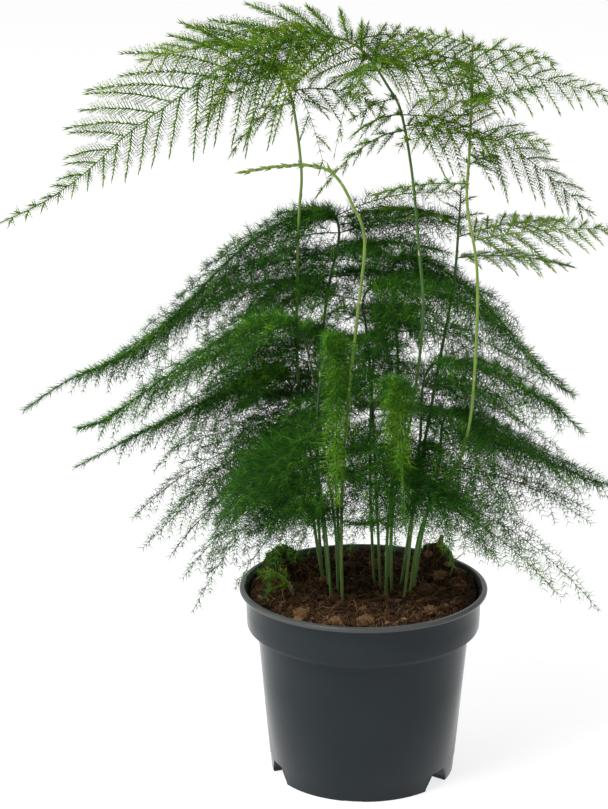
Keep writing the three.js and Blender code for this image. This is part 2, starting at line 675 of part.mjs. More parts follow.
// The bare stretch of a stem, up to its crown.
function bareStations(name) {
  const { crown, steps } = STEMS[name];
  const axis = (t) => curves[name].getPoint(t);
  const normalAt = facingNormal(STEMS[name]);
  const count = Math.max(3, Math.round(steps * crown));
  return Array.from({ length: count + 1 }, (_, i) => {
    const share = (crown * i) / count;
    const along = alongAt(axis, share);
    const radius = THREE.MathUtils.lerp(STEM_FOOT_RADIUS, STEM_TOP_RADIUS, i / count);
    return { place: axis(share), along, side: sidewaysOf(normalAt, along), radius };
  });
}

function stemShape(name) {
  const { crown, width, needle } = STEMS[name];
  const normalAt = facingNormal(STEMS[name]);
  const [foot, ...bare] = bareStations(name);
  const crownAxis = (t) => curves[name].getPoint(Math.min(1, crown + (1 - crown) * t));
  const reach = crownAxis(0.5).distanceTo(crownAxis(0)) + crownAxis(1).distanceTo(crownAxis(0.5));
  const twigs = crown < 1 ? sideTwigs(crownAxis, reach, width, normalAt, TWIG_SPACING) : [];
  const stations = [
    ...bare.slice(0, crown < 1 ? bare.length : -1),
    ...twigStations({ stem: name, bough: name }, twigs, normalAt, STEM_TOP_RADIUS, CROWN_TIP_RADIUS, needle),
  ];
  const tip = curves[name].getPoint(1);
  const parts = [new Limbs().start(foot, { stations, tip }).solid()];
  for (const { bough, axis, reach: spread, width: span, roll } of axes[name]) {
    const rolled = rolledNormal(roll);
    const side = sideTwigs(axis, spread, span, rolled, TWIG_SPACING);
    const along = alongAt(axis, 0);
    const root = { place: axis(0), along, side: sidewaysOf(rolled, along), radius: SPRAY_RADIUS };
    parts.push(new Limbs().start(root, {
      stations: twigStations(bough, side, rolled, SPRAY_RADIUS, SPRAY_TIP_RADIUS, needle),
      tip: axis(1),
    }).solid());
  }
  return largestBody(joined(parts));
}

// The hole that a stem stands in, from just under its foot to above the soil.
function stemHole(name) {
  const radius = STEM_FOOT_RADIUS + GAP + 0.1;
  const [foot, ...stations] = bareStations(name).slice(0, 3).map((station) => ({ ...station, radius }));
  foot.place.z -= GAP + 0.1;
  const tip = stations[stations.length - 1].place.clone().addScaledVector(foot.along, 1);
  return new Limbs().start(foot, { stations, tip }).solid();
}

const fern = new THREE.Group();
const holes = joined(Object.keys(STEMS).map(stemHole));
fern.add(meshOf('pot', potShape(), POT_GREY, 0.35));
fern.add(meshOf('soil', largestBody(soilShape().subtract(holes)), SOIL_BROWN, 0.95));
for (const [name, { colour }] of Object.entries(STEMS)) {
  fern.add(meshOf(name, stemShape(name), colour, 0.6));
}

export default fern;
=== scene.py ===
"""Looks of the potted lace fern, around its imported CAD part. Lengths are millimetres until a mesh is made."""
import math
from itertools import combinations

import bpy
import numpy as np
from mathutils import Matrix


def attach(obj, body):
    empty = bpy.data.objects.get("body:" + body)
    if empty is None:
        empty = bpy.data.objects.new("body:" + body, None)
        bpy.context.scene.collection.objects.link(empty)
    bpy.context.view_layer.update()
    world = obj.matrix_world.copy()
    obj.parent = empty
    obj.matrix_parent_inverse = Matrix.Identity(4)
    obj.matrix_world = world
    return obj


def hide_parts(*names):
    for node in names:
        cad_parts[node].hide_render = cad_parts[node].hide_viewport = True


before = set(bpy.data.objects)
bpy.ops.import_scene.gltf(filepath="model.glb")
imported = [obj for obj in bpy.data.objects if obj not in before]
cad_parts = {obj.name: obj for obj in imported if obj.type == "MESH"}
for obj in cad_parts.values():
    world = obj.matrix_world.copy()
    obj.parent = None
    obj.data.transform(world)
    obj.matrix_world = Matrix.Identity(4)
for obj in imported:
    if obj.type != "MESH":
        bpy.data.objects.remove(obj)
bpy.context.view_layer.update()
MM = 0.001
UP = np.array([0.0, 0, 1])
# Turn from one scale, twig or wave to the next, in radians: the golden angle
SPIRAL = 2.4

# Camera as fitted to the photo, floor, and lights as (name, place, size, power), in metres, degrees and watts
CAMERA_PLACE, CAMERA_TILT, LENS, SENSOR = (-0.0287, -1.107, 0.501), 74.05, 108.2, 36
FLOOR_REACH, FLOOR_GLOW = 9, 0.78
LIGHTS = (("key", (-0.9, -0.9, 2.2), 0.9, 46), ("side", (-1.25, -0.36, 0.4), 2.3, 22),
          ("fill", (1.6, -0.6, 1.2), 1.2, 3))
LIGHTS_AIM = (0, 0, 0.2)
# The world's glow rises from 0.2 in front of the pot to 1 beyond it
WORLD_GLOW = (-0.6, 0.7, 0.2, 1.0)

# Pot, as in the CAD source
POT_HEIGHT, WALL, FLOOR = 94.3, 1.3, 1.6
RIM_RADIUS, COLLAR_RADIUS, COLLAR_FOOT_Z = 60, 56.8, 74.8
BODY_TOP_RADIUS, BODY_FOOT_RADIUS = 51.3, 44.6
CHANNEL_AZIMUTHS = (-37, 83, 203)
CHANNEL_FOOT_WIDTH, CHANNEL_TOP_WIDTH, CHANNEL_HEIGHT = 17, 9, 8
CHANNEL_START, CHANNEL_END = 26, 62
DRAIN_RADIUS, DRAIN_LENGTH, DRAIN_DISTANCE = 3.6, 6, 35
RECESS_AZIMUTH, RECESS_SIZE = 263, (3, 9, 0.8)
POT_SIDES, DRAIN_SIDES, SHARP_ANGLE = 144, 32, 38

# Soil, with its heaps and hollows as (x, y, spread, height), balls of fibre as (x, y, size), and patches of
# moss as (x, y, radius). The first patch gets its own share of the blades before the rest are dealt out.
GAP, SOIL_LEVEL, SOIL_EDGE = 0.3, 90.6, 54.7
SOIL_HEAPS = ((-40, 28, 12, 12.5), (38, 34, 11, 13), (-2, 46, 14, 3.5), (47, 10, 9, 4),
              (-46, -8, 10, 2), (-22, -38, 14, 1.5), (24, -40, 12, 1.4), (2, 4, 18, -5))
LUMP_HEIGHT, CRUMB_HEIGHT, ROUGH_WAVES, ROUGH_HEIGHT = 1.1, 0.7, 14, 0.42
SOIL_RINGS, SOIL_SIDES = 60, 160
FIBRES, CRUMBS, CLODS, CHIPS, MOSS_BLADES, BALL_FIBRES = 1500, 900, 90, 60, 1100, 60
FIBRE_BALLS = ((0, -43, 5), (-30, -36, 4.4), (31, -33, 3.8), (-14, -47, 3.2), (38, 12, 3.6), (6, 34, 4))
MOSS_PATCHES, MAIN_PATCH_SHARE = ((-40, 28, 13), (-46, 2, 7), (36, 36, 6), (-30, -30, 6)), 0.45
# Crumbs, chips of bark and clods: how many, their draws, least and greatest size
LOOSE_LUMPS = ((CRUMBS, 21.7, 0.45, 1.9), (CHIPS, 47.9, 0.7, 2.6), (CLODS, 63.1, 1.6, 3.6))
# A thick and a thin piece of old twig that stand up from the soil
STUBS = (((38, 30, 0), (39, 29.5, 4), (39.4, 29.2, 6.5)), ((44, 26, 0), (47.5, 25, 3.6), (50, 24.4, 6.4)))
STUB_RADII = ((1.5, 1.3, 0.9), (0.22, 0.2, 0.12))
# Dark, middle and light colour of each kind of soil matter, and of the stems' scales
SOIL_COLOURS = {
    "soil_peat": ((0.005, 0.003, 0.002), (0.026, 0.014, 0.007), (0.13, 0.064, 0.028)),
    "fibre_0": ((0.07, 0.034, 0.014), (0.135, 0.0695, 0.0295), (0.20, 0.105, 0.045)),
    "fibre_1": ((0.15, 0.075, 0.032), (0.335, 0.1925, 0.086), (0.52, 0.31, 0.14)),
    "fibre_2": ((0.10, 0.055, 0.022), (0.215, 0.1275, 0.0535), (0.33, 0.20, 0.085)),
    "moss": ((0.035, 0.032, 0.008), (0.10, 0.09, 0.022), (0.20, 0.17, 0.055)),
    "crumb_peat": ((0.014, 0.007, 0.004), (0.05, 0.024, 0.011), (0.12, 0.06, 0.03)),
    "crumb_bark": ((0.10, 0.05, 0.025), (0.22, 0.12, 0.06), (0.38, 0.24, 0.13)),
    "crumb_clod": ((0.018, 0.009, 0.005), (0.085, 0.042, 0.020), (0.23, 0.13, 0.065)),
    "papery_scale": ((0.30, 0.26, 0.15), (0.42, 0.38, 0.22), (0.55, 0.5, 0.3)),
}
# Spots in a millimetre of these, and of the ones that differ
GRAIN, OWN_GRAIN = 0.9, {"crumb_clod": 1.4, "papery_scale": 0.5}

# Stems
STEM_FOOT_RADIUS, STEM_TOP_RADIUS, CROWN_RADIUS, CROWN_TIP_RADIUS = 0.85, 0.6, 0.45, 0.15
SPRAY_RADIUS, SPRAY_TIP_RADIUS = 0.3, 0.1
# Side twigs: their angle to the axis, how much it closes up to the tip and varies, how far they hang by their
# length, how much shorter one is that rises, and the least length
TWIG_ANGLE, ANGLE_CLOSES, ANGLE_VARIES, TWIG_SAG, RISING_LOSS, LEAST_TWIG = 58, 24, 14, 0.2, 0.55, 2
# Smaller sprays between the others: how low their tips may be, and where long ones get none beside them
LOWEST_TIP, LOWEST_FRONT_TIP, OPEN_SIDE, LONG_REACH = 118, 138, 0.3, 62
# Thatch: short twigs that clothe the dark crowns, up to a share of their length, shorter where they stand up
THATCH_SPACING, THATCH_LENGTH, THATCH_SAG, THATCH_END = 1.05, 19, 0.5, 0.82
THATCH_FRESH, THATCH_RISING_LOSS = 0.2, 0.75

# How foliage is built: how far apart twigs, branchlets and whorls of needles are (twig, branchlet, node), how
# long the longest branchlet and a needle are, how thick a needle is at its root, how wide it leans out and
# how much it closes up at a tip, how flat a whorl is, how long a twig has to be to bear branchlets (bushy),
# and how much fresher its tip is
DENSE = dict(twig=3.1, branchlet=5.5, longest=9, node=1.4, needle=6.3, thick=0.27, lean=55, close=0.2,
             flat=0.75, twig_radius=0.1, bushy=8, fresh=0.12)
# On young twigs the branchlets bear a short fuzz of needles of their own
YOUNG = dict(twig=3.7, node=0.95, longest=8.2, thick=0.46, lean=50, fuzz=1.8, fuzz_root=0.22, needle=3.0,
             twig_radius=0.19, fresh=0.45)
# A young twig ends in a blunt bud of closed needles, and the bare shoot has one at its side
BUD_LENGTH, BUD_THICK = 4.2, 0.62
SIDE_BUD_AT, SIDE_BUD, SIDE_BUD_RADII = 0.71, ((0, 0, 0), (-2.5, 0, 3), (-3.6, 0, 6)), (0.5, 0.8, 0.15)

# Kinds of foliage surface: four tones of needle, then twigs, bare stem and papery scales
TWIG, BARE, PAPER = 4, 5, 6
# Colours of the needles and twigs, and of the stem low down and above the height that comes last
FOLIAGE_COLOURS = {
    "dark": (((0.010, 0.062, 0.005), (0.029, 0.132, 0.009), (0.068, 0.215, 0.014), (0.14, 0.34, 0.014)),
             (0.024, 0.075, 0.010), (0.10, 0.21, 0.045), (0.016, 0.06, 0.008), 230),
    "mid": (((0.038, 0.115, 0.004), (0.080, 0.19, 0.006), (0.14, 0.27, 0.010), (0.22, 0.32, 0.013)),
            (0.055, 0.13, 0.012), (0.10, 0.21, 0.04), (0.04, 0.11, 0.014), 320),
    "young": (((0.055, 0.15, 0.005), (0.11, 0.24, 0.008), (0.17, 0.31, 0.012), (0.25, 0.36, 0.016)),
              (0.11, 0.22, 0.02), (0.13, 0.26, 0.04), (0.15, 0.25, 0.03), 320),
}
STEM_FOOT_COLOUR, STEM_FOOT_Z = (0.16, 0.24, 0.08), 85
# Factors for the darkest and lightest patches of a tone
NEEDLE_SHADE, NEEDLE_SHINE = (0.68, 0.78, 0.8), (1.35, 1.2, 1.1)

# As in the CAD source: a route for each stem, and its sprays as [height on the stem, azimuth, reach, slope at
# its start, height of its tip over its start, longest side twig, roll of its plane]. The crown is what a stem
# bears from a share of its route on: its longest side twig is the width, and its flat side faces one way at
# its start and may face another at its tip. A stem is dark and dense unless its slot says otherwise.
# Only the looks have more sprays, fresh pale growth (0 is the crown, and the rest are counted along the
# sprays), and own habits where a stem or its crown differs from DENSE or YOUNG. The upper twigs of one crown
# stand 7 degrees wider and are 0.75 longer.
STEMS = {
    "stem_tall_arching": dict(
        slot="leafy_mid", crown=0.42, width=52, facing=(0, -0.6, 0.7), tip_facing=(0, -1, 0),
        crown_own=dict(thick=0.62, needle=3.4, node=0.86, twig_radius=0.24, upper=(7, 0.75)),
        route=[[14, 6, 82], [14, 2, 132], [22, -12, 185], [26, -22, 232], [24, -20, 262], [21, -9, 295],
            [16, -1, 323], [10, 0, 335], [-3, -2, 353], [-21, -4, 360], [-35, -6, 357], [-52, -8, 351],
            [-67, -10, 345], [-89, -13, 330], [-109, -16, 316], [-127, -20, 300], [-146, -24, 287],
            [-166, -28, 278]],
        sprays=[[350, -8, 111, -2, -17, 36, 70], [322, 10, 92, -2, -51, 38, 65],
            [330, 182, 20, -5, -10, 10, 60], [315, 196, 42, 0, -28, 13, 40], [342, 78, 46, 20, -4, 22, 15],
            [346, 258, 40, 15, -12, 22, 20], [349, 200, 16, -20, -44, 14, 70]],
        more=[[356, 35, 46, 12, -2, 20, 45], [359, 175, 40, 8, 2, 18, -20], [359, 200, 44, 5, -4, 20, -50],
            [346, 340, 56, 6, -10, 20, 50], [322, 200, 24, 5, -8, 14, 30], [318, 350, 44, 5, -8, 16, 50],
            [355, 20, 40, 2, -6, 20, 60], [358, 190, 56, 8, -4, 20, -60]]),
    "stem_pale_left": dict(
        slot="leafy_young", crown=0.66, width=30, facing=(0, -1, 0.5),
        route=[[-18, 17, 82], [-24, 19, 120], [-31, 18, 182], [-32, 16, 234], [-31, 14, 273], [-30, 12, 296],
            [-35, 8, 331], [-44, 6, 347], [-67, 2, 354], [-85, -4, 352], [-103, -8, 348]],
        sprays=[[332, 14, 46, 10, -10, 22, 50], [338, 172, 42, 5, -24, 18, 60],
            [340, 100, 48, 15, -8, 22, 10], [326, 200, 30, 0, -22, 14, 50], [335, 325, 22, 0, -42, 14, 60]],
        more=[[350, 30, 46, 8, 2, 18, 45], [345, 205, 42, 5, -12, 18, -40], [352, 120, 42, 8, -2, 16, 0]]),
    "stem_pale_right": dict(
        slot="leafy_young", crown=0.86, width=12, facing=(0, -1, 0.2),
        route=[[22, 2, 82], [26, -2, 117], [32, -12, 139], [43, -24, 162], [48, -30, 186], [50, -31, 223],
            [50, -25, 257], [46, -12, 283], [47, -4, 304], [48, 0, 329], [48, 0, 358]],
        sprays=[[352, 2, 38, 5, -6, 14, 50], [344, 200, 34, 25, 8, 13, 50], [328, 12, 32, 15, 6, 12, 50],
            [322, 180, 28, 5, -6, 13, 60], [338, 95, 36, 20, 4, 14, 20], [330, 280, 30, 15, 2, 12, 20],
            [268, 18, 74, 8, 0, 26, 40], [292, 200, 46, 8, -2, 10, 50], [300, 60, 30, 10, 0, 12, 30]],
        more=[[354, 150, 30, 15, 4, 12, -40], [312, 350, 36, 8, -2, 13, 50], [336, 220, 30, 12, -6, 12, -40],
            [314, 190, 34, 8, -4, 12, -50]]),
    "stem_dark_right": dict(
        slot="leafy_mid", crown=0.8, width=16, facing=(0, -1, 1),
        route=[[18, 14, 82], [25, 16, 132], [35, 16, 195], [42, 16, 238], [44, 16, 266], [45, 16, 287]],
        sprays=[[262, 30, 60, 12, 2, 26, 20], [270, 150, 60, 12, -4, 26, 20],
            [252, 350, 54, 10, -2, 20, 10]]),
    "shoot_bare": dict(
        slot="leafy_young", crown=1, width=0, facing=(0, -1, 0),
        route=[[-10, -11, 82], [-11, -13, 121], [-10, -16, 166], [-7, -18, 202], [-4, -18, 233],
            [-1, -18, 268], [-7, -18, 285], [-14, -18, 297], [-23, -18, 302], [-40, -18, 302],
            [-58, -18, 299]],
        sprays=[]),
    "stem_dense_01": dict(
        crown=0.36, width=34, facing=(0, -0.3, 1), sag=0.4, fresh={5: 0.25},
        route=[[-19, 24, 82], [-22, 26, 127], [-22, 27, 179], [-18, 25, 229], [-12, 24, 262], [-18, 24, 272],
            [-34, 23, 270], [-60, 20, 254], [-86, 16, 228], [-104, 13, 212], [-121, 11, 202], [-141, 9, 194],
            [-162, 7, 180]],
        sprays=[[262, 12, 62, 14, 0, 28, 30], [250, 60, 60, 10, -12, 26, 0], [248, 172, 96, 10, -52, 34, -25],
            [235, 150, 90, 8, -30, 30, -10], [215, 205, 96, 8, -32, 32, -20], [240, 355, 78, 8, -8, 30, 35],
            [190, 186, 80, 5, -44, 28, -30]],
        more=[[266, 350, 60, 14, 6, 26, 60], [262, 30, 60, 12, 2, 26, 45], [252, 184, 84, 2, -40, 28, -30],
            [238, 255, 40, 6, -12, 22, 0], [258, 300, 34, 12, -6, 22, 10], [270, 8, 56, 26, 10, 20, 60],
            [262, 186, 46, 4, -12, 20, -50], [256, 230, 30, 4, -16, 18, 0]]),
    "stem_dense_02": dict(
        crown=0.42, width=32, facing=(0, -0.35, 1), sag=0.35,
        route=[[-12, 3, 82], [-14, 2, 126], [-20, 0, 167], [-24, -2, 197], [-31, -4, 223], [-45, -6, 228],
            [-62, -8, 222], [-94, -12, 201], [-120, -16, 183], [-134, -18, 178]],
        sprays=[[212, 160, 80, 8, -30, 28, -20], [205, 20, 50, 12, -6, 26, 30], [190, 262, 50, 5, -40, 24, 0],
            [176, 225, 70, 0, -40, 28, -15], [150, 198, 72, 0, -45, 26, -30], [140, 246, 42, 0, -20, 22, 0]],
        more=[[176, 188, 70, 4, -10, 24, -30], [200, 345, 56, 10, -14, 24, 30]]),
    "stem_dense_03": dict(
        crown=0.42, width=32, facing=(0, -0.3, 1), sag=0.35,
        route=[[-16, 10, 82], [-20, 13, 123], [-27, 14, 163], [-34, 14, 188], [-42, 12, 198], [-59, 8, 193],
            [-81, 4, 182], [-109, 0, 169], [-137, -4, 155]],
        sprays=[[180, 116, 70, 10, -20, 26, 0], [165, 188, 84, 4, -38, 30, -30],
            [150, 168, 72, 0, -52, 28, -20], [140, 206, 58, 0, -36, 26, -35],
            [172, 232, 66, 5, -38, 26, -10]],
        more=[[158, 200, 84, 2, -40, 28, -30]]),
    "stem_dense_04": dict(
        crown=0.5, width=15, facing=(0, 1, 1), tip_facing=(0, -1, 0.4), fresh={0: 0.6},
        route=[[-15, -7, 82], [-18, -12, 121], [-22, -18, 158], [-22, -24, 194], [-19, -29, 216],
            [-16, -35, 226], [-14, -41, 221], [-14, -48, 203], [-14, -54, 172], [-13, -57, 155]],
        sprays=[[175, 215, 62, 5, -50, 26, -10], [160, 240, 48, 0, -50, 24, 0],
            [150, 184, 60, 0, -62, 26, -35], [140, 204, 44, 0, -36, 22, -30], [142, 284, 34, 4, -8, 18, 0],
            [185, 302, 40, 10, -30, 22, 10]]),
    "stem_dense_05": dict(
        crown=0.45, width=34, facing=(0, -0.45, 1), sag=0.35, fresh={2: 0.5, 6: 0.3},
        own=dict(twig=3.5, node=1.65),
        route=[[9, 12, 82], [6, 13, 143], [4, 14, 183], [1, 14, 217], [-1, 12, 230], [2, 8, 239],
            [11, 3, 243], [26, -1, 241], [44, -6, 237], [62, -8, 225], [85, -9, 201], [98, -10, 192]],
        sprays=[[228, 335, 60, 10, -12, 28, 20], [232, 165, 50, 12, -6, 26, -30],
            [215, 265, 40, 10, -20, 22, 0], [198, 350, 66, 4, -30, 26, 30], [190, 192, 70, 6, -30, 28, -30],
            [175, 270, 50, 8, -26, 24, 0], [160, 346, 70, 5, -28, 26, 30]],
        more=[[222, 345, 54, 4, -12, 22, 25], [178, 350, 56, 2, -12, 22, 25]]),
    "stem_dense_06": dict(
        crown=0.45, width=32, facing=(0, -0.3, 1), sag=0.35, fresh={1: 0.4}, own=dict(twig=3.8, node=1.8),
        route=[[13, 21, 82], [15, 27, 138], [17, 30, 178], [16, 30, 213], [13, 30, 240], [18, 28, 249],
            [31, 26, 248], [51, 24, 234], [65, 20, 220], [84, 16, 200], [96, 14, 190]],
        sprays=[[244, 175, 66, 14, 0, 28, -30], [236, 60, 70, 10, -20, 28, 0], [220, 100, 70, 8, -24, 28, 0],
            [212, 18, 72, 6, -26, 28, 25], [200, 201, 60, 6, -26, 28, -25], [180, 10, 84, 5, -34, 28, 30]]),
    "stem_dense_07": dict(
        crown=0.4, width=32, facing=(0, -0.3, 1), sag=0.35,
        route=[[19, -7, 82], [23, -8, 130], [26, -10, 170], [27, -12, 198], [33, -14, 209], [46, -16, 209],
            [61, -18, 205], [75, -20, 197], [89, -22, 189], [101, -24, 178]],
        sprays=[[184, 350, 74, 2, -36, 26, 25], [180, 309, 64, 4, -34, 28, 15], [170, 285, 50, 0, -40, 24, 0],
            [196, 25, 50, 6, -16, 22, 25], [150, 310, 50, 2, -26, 20, 10], [160, 200, 56, 5, -24, 26, -20]]),
    "stem_dense_08": dict(
        crown=0.42, width=30, facing=(0, -0.3, 1), sag=0.35, own=dict(twig=3.8, node=1.8),
        route=[[24, 8, 82], [29, 10, 119], [36, 11, 149], [38, 12, 173], [44, 12, 178], [55, 10, 173],
            [73, 6, 163], [92, 2, 154], [110, -2, 147], [121, -4, 146]],
        sprays=[[166, 5, 70, 4, -22, 24, 30], [160, 40, 80, 6, -26, 28, 10], [150, 345, 74, 4, -22, 28, 30],
            [134, 340, 84, -2, -46, 28, 30], [146, 312, 50, 2, -20, 22, 10]],
        more=[[158, 356, 78, 10, -12, 20, 20], [148, 350, 74, 2, -16, 24, 25]]),
    "stem_dense_09": dict(
        crown=0.44, width=16, facing=(0, 1, 1), tip_facing=(0, -1, 0.4), fresh={0: 0.45, 4: 0.4},
        route=[[11, -3, 82], [11, -8, 120], [13, -16, 157], [13, -23, 184], [13, -30, 199], [13, -38, 206],
            [14, -46, 199], [15, -52, 180], [18, -57, 140]],
        sprays=[[175, 300, 52, 0, -48, 24, 0], [162, 319, 60, 2, -34, 24, 15], [188, 255, 44, 5, -40, 22, 0],
            [145, 344, 82, 0, -44, 26, 30], [142, 272, 36, 2, -12, 20, 0], [152, 240, 40, 4, -22, 22, -10]]),
    "stem_dense_10": dict(
        crown=0.5, width=28, facing=(0, 0.3, 1),
        route=[[6, 19, 82], [4, 28, 128], [4, 38, 162], [5, 46, 190], [9, 54, 208], [15, 65, 215],
            [23, 80, 208], [31, 96, 190]],
        sprays=[[200, 110, 76, 8, -30, 28, 0], [186, 20, 80, 6, -30, 28, 20], [170, 62, 78, 4, -34, 28, 0],
            [150, 95, 80, 2, -50, 28, 0], [140, 35, 80, 0, -50, 26, 10]]),
    "stem_dense_11": dict(
        crown=0.5, width=28, facing=(0, 0.3, 1),
        route=[[-11, 17, 82], [-12, 27, 117], [-14, 36, 151], [-16, 46, 179], [-18, 58, 196], [-21, 72, 203],
            [-26, 88, 201], [-32, 104, 190]],
        sprays=[[186, 150, 80, 6, -34, 28, -15], [176, 80, 70, 4, -44, 28, 0],
            [160, 175, 84, 2, -50, 28, -20], [145, 130, 84, 0, -56, 26, 0]]),
    "shoot_low": dict(
        slot="leafy_young", crown=0.35, width=9, facing=(0, -1, 1),
        route=[[-33, -6, 84], [-35, -6, 95], [-41, -4, 101], [-50, -1, 101]],
        sprays=[[96, 150, 14, 30, 4, 7, 20]]),
}


# Small vector tools on arrays whose last axis is x, y, z

def draw(a, b):
    """Repeatable draws between 0 and 1 for pairs of numbers."""
    value = np.sin(np.asarray(a, float) * 12.9898 + np.asarray(b, float) * 78.233) * 43758.5453
    return value - np.floor(value)


def unit(v):
    return v / np.maximum(np.linalg.norm(v, axis=-1, keepdims=True), 1e-9)


def across(v, along):
    """The part of v across the direction along, as a unit vector."""
    return unit(v - np.sum(v * along, -1, keepdims=True) * along)


def turned(v, along, angle):
    """v, which is across along, turned about it."""
    return v * np.cos(angle) + np.cross(along, v) * np.sin(angle)


def leant(along, out, angle):
    """The direction along, turned by an angle towards out, which is across it."""
    return along * column(np.cos(angle)) + out * column(np.sin(angle))


def sideways(along):
    """Some direction across each direction along."""
    return unit(np.cross(along, np.eye(3)[np.argmin(np.abs(along), axis=-1)]))


def upright(along):
    """The direction nearest to up that is across the direction along."""
    return across(np.broadcast_to(UP, along.shape), along)


def tones(member, seed, fresh):
    """One of four needle tones for each member, the paler ones more often where growth is fresh."""
    return np.digitize(draw(member, seed + 0.7) + fresh, (0.3, 0.85, 1.05))


def column(values):
    return np.asarray(values, float)[..., None]


# Meshes

class Skin:
    """Closed shells of triangles, gathered for one object."""

    def __init__(self):
        self.points, self.faces, self.kinds, self.count = [], [], [], 0

    def shells(self, points, faces, kinds=0):
        """Shells with the same faces, each on its own row of points: one kind for all, or one for each."""
        first = self.count + points.shape[1] * np.arange(len(points))
        self.points.append(points.reshape(-1, 3))
        self.faces.append((faces + first[:, None, None]).reshape(-1, 3))
        self.kinds.append(np.repeat(np.broadcast_to(kinds, len(points)), len(faces)))
        self.count += len(self.points[-1])

    def tubes(self, lines, radii, sides, kind=0):
        """Tapered tubes along lines (tube, station, 3), closed at both ends."""
        tubes, stations = lines.shape[:2]
        along = unit(np.gradient(lines, axis=1))
        bend = np.cross(along[:, 0], along[:, -1])
        flat = np.linalg.norm(bend, axis=-1, keepdims=True) < 0.03
        first = across(np.where(flat, sideways(along[:, 0]), bend)[:, None], along)
        second = np.cross(along, first)
        way = leant(first[:, :, None], second[:, :, None], 2 * np.pi * np.arange(sides) / sides)
        points = lines[:, :, None] + way * radii[:, :, None, None]
        i, d = np.meshgrid(np.arange(stations - 1), np.arange(sides), indexing="ij")
        e = (d + 1) % sides
        a, b, c, f = i * sides + d, i * sides + e, (i + 1) * sides + e, (i + 1) * sides + d
        walls = [np.stack(corners, -1).reshape(-1, 3) for corners in ((a, b, c), (a, c, f))]
        end = np.array([[0, k + 1, k] for k in range(1, sides - 1)])
        other_end = (stations - 1) * sides + end[:, ::-1]
        self.shells(points.reshape(tubes, -1, 3), np.concatenate([*walls, end, other_end]), kind)

    def spikes(self, roots, tips, radius, kind=0):
        """Slim three-sided spikes, closed at the root."""
        along = unit(tips - roots)
        first = sideways(along)
        second = np.cross(along, first)
        ring = [roots + radius * leant(first, second, turn) for turn in (0, 2.0944, 4.1888)]
        faces = np.array([[0, 2, 1], [0, 1, 3], [1, 2, 3], [2, 0, 3]])
        self.shells(np.stack([*ring, tips], 1), faces, kind)

    def pairs(self, centre, along, left, right, thick, kinds):
        """Pairs of needles: each pair is one shell, drawn out to two points from a root in the twig."""
        up = unit(np.cross(left, right)) * (0.5 * thick)
        ahead = along * thick
        back = centre - 0.4 * ahead
        points = np.stack([centre + 0.6 * ahead, back + up, back - up, centre + left, centre + right], 1)
        faces = np.array([[0, 1, 3], [1, 2, 3], [2, 0, 3], [1, 0, 4], [2, 1, 4], [0, 2, 4]])
        self.shells(points, faces, kinds)

    def needles(self, roots, reach, thick, kinds):
        """Needles that reach from their roots: slim four-faced slivers, thickest near the middle."""
        along = unit(reach)
        first = sideways(along)
        deep = roots + 0.42 * reach + np.cross(along, first) * (0.7 * thick)
        half = first * (0.5 * thick)
        faces = np.array([[0, 2, 1], [0, 1, 3], [0, 3, 2], [1, 2, 3]])
        self.shells(np.stack([roots, roots + reach, deep + half, deep - half], 1), faces, kinds)

    def whorls(self, centre, along, normal, length, habit, t, fresh, seed):
        """Whorls of four needles, as two crossed pairs, at shares t of what bears them."""
        member = np.arange(len(centre)) + 0.1 * seed
        side = unit(np.cross(normal, along))
        lean = habit["lean"] * (1 - habit["close"] * np.clip(2 * t - 1, 0, 1))
        fresh = fresh + habit["fresh"] * t
        for k, turn in enumerate((0.2, 1.45)):
            a, b, c, d, e = (draw(member, seed + k + part) - 0.5 for part in (0.2, 0.35, 0.5, 0.8, 0.65))
            turn = turn + 1.1 * c
            out = unit(side * column(np.cos(turn)) + normal * column(habit["flat"] * np.sin(turn)))
            left = leant(along, out, np.radians(lean + 24 * a)) * column(length * (1 + 0.4 * d))
            right = leant(along, out, -np.radians(lean + 24 * b)) * column(length * (1 - 0.4 * d))
            self.pairs(centre, along, left, right, habit["thick"], tones(member + e, seed, fresh))

    def object(self, name, materials, smooth=True):
        """The shells as one mesh object, which rides with the pot and plant."""
        points, faces = np.concatenate(self.points) * MM, np.concatenate(self.faces)
        mesh = bpy.data.meshes.new(name)
        mesh.vertices.add(len(points))
        mesh.vertices.foreach_set("co", points.astype(np.float32).ravel())
        mesh.loops.add(3 * len(faces))
        mesh.loops.foreach_set("vertex_index", faces.astype(np.int32).ravel())
        mesh.polygons.add(len(faces))
        mesh.polygons.foreach_set("loop_start", (3 * np.arange(len(faces))).astype(np.int32))
        mesh.polygons.foreach_set("material_index", np.concatenate(self.kinds).astype(np.int32))
        mesh.polygons.foreach_set("use_smooth", np.full(len(faces), smooth))
        mesh.update(calc_edges=True)
        for surface in materials:
            mesh.materials.append(surface)
        made = in_scene(name, mesh)
        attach(made, "root")
        return made


def in_scene(name, data):
    """A new object in the scene."""
    made = bpy.data.objects.new(name, data)
    bpy.context.scene.collection.objects.link(made)
    return made


# Materials

def feed(socket, value):
    """Gives a node's input a value, or links another node's output to it."""
    if hasattr(value, "is_linked"):
        socket.id_data.links.new(value, socket)
    else:
        socket.default_value = value


def output_of(tree, kind, output, **inputs):
    """The output of a new node, whose inputs are fed by name, with _ for a space."""
    made = tree.nodes.new("ShaderNode" + kind)
    for name, value in inputs.items():
        feed(made.inputs[name.replace("_", " ")], value)
    return made.outputs[output]


def material(name, **inputs):
    """A node material and its surface shader, whose inputs are fed by name, with _ for a space."""
    made = bpy.data.materials.new(name)
    made.use_nodes = True
    shader = made.node_tree.nodes["Principled BSDF"]
    for socket, value in inputs.items():
        feed(shader.inputs[socket.replace("_", " ")], value)
    return made, shader


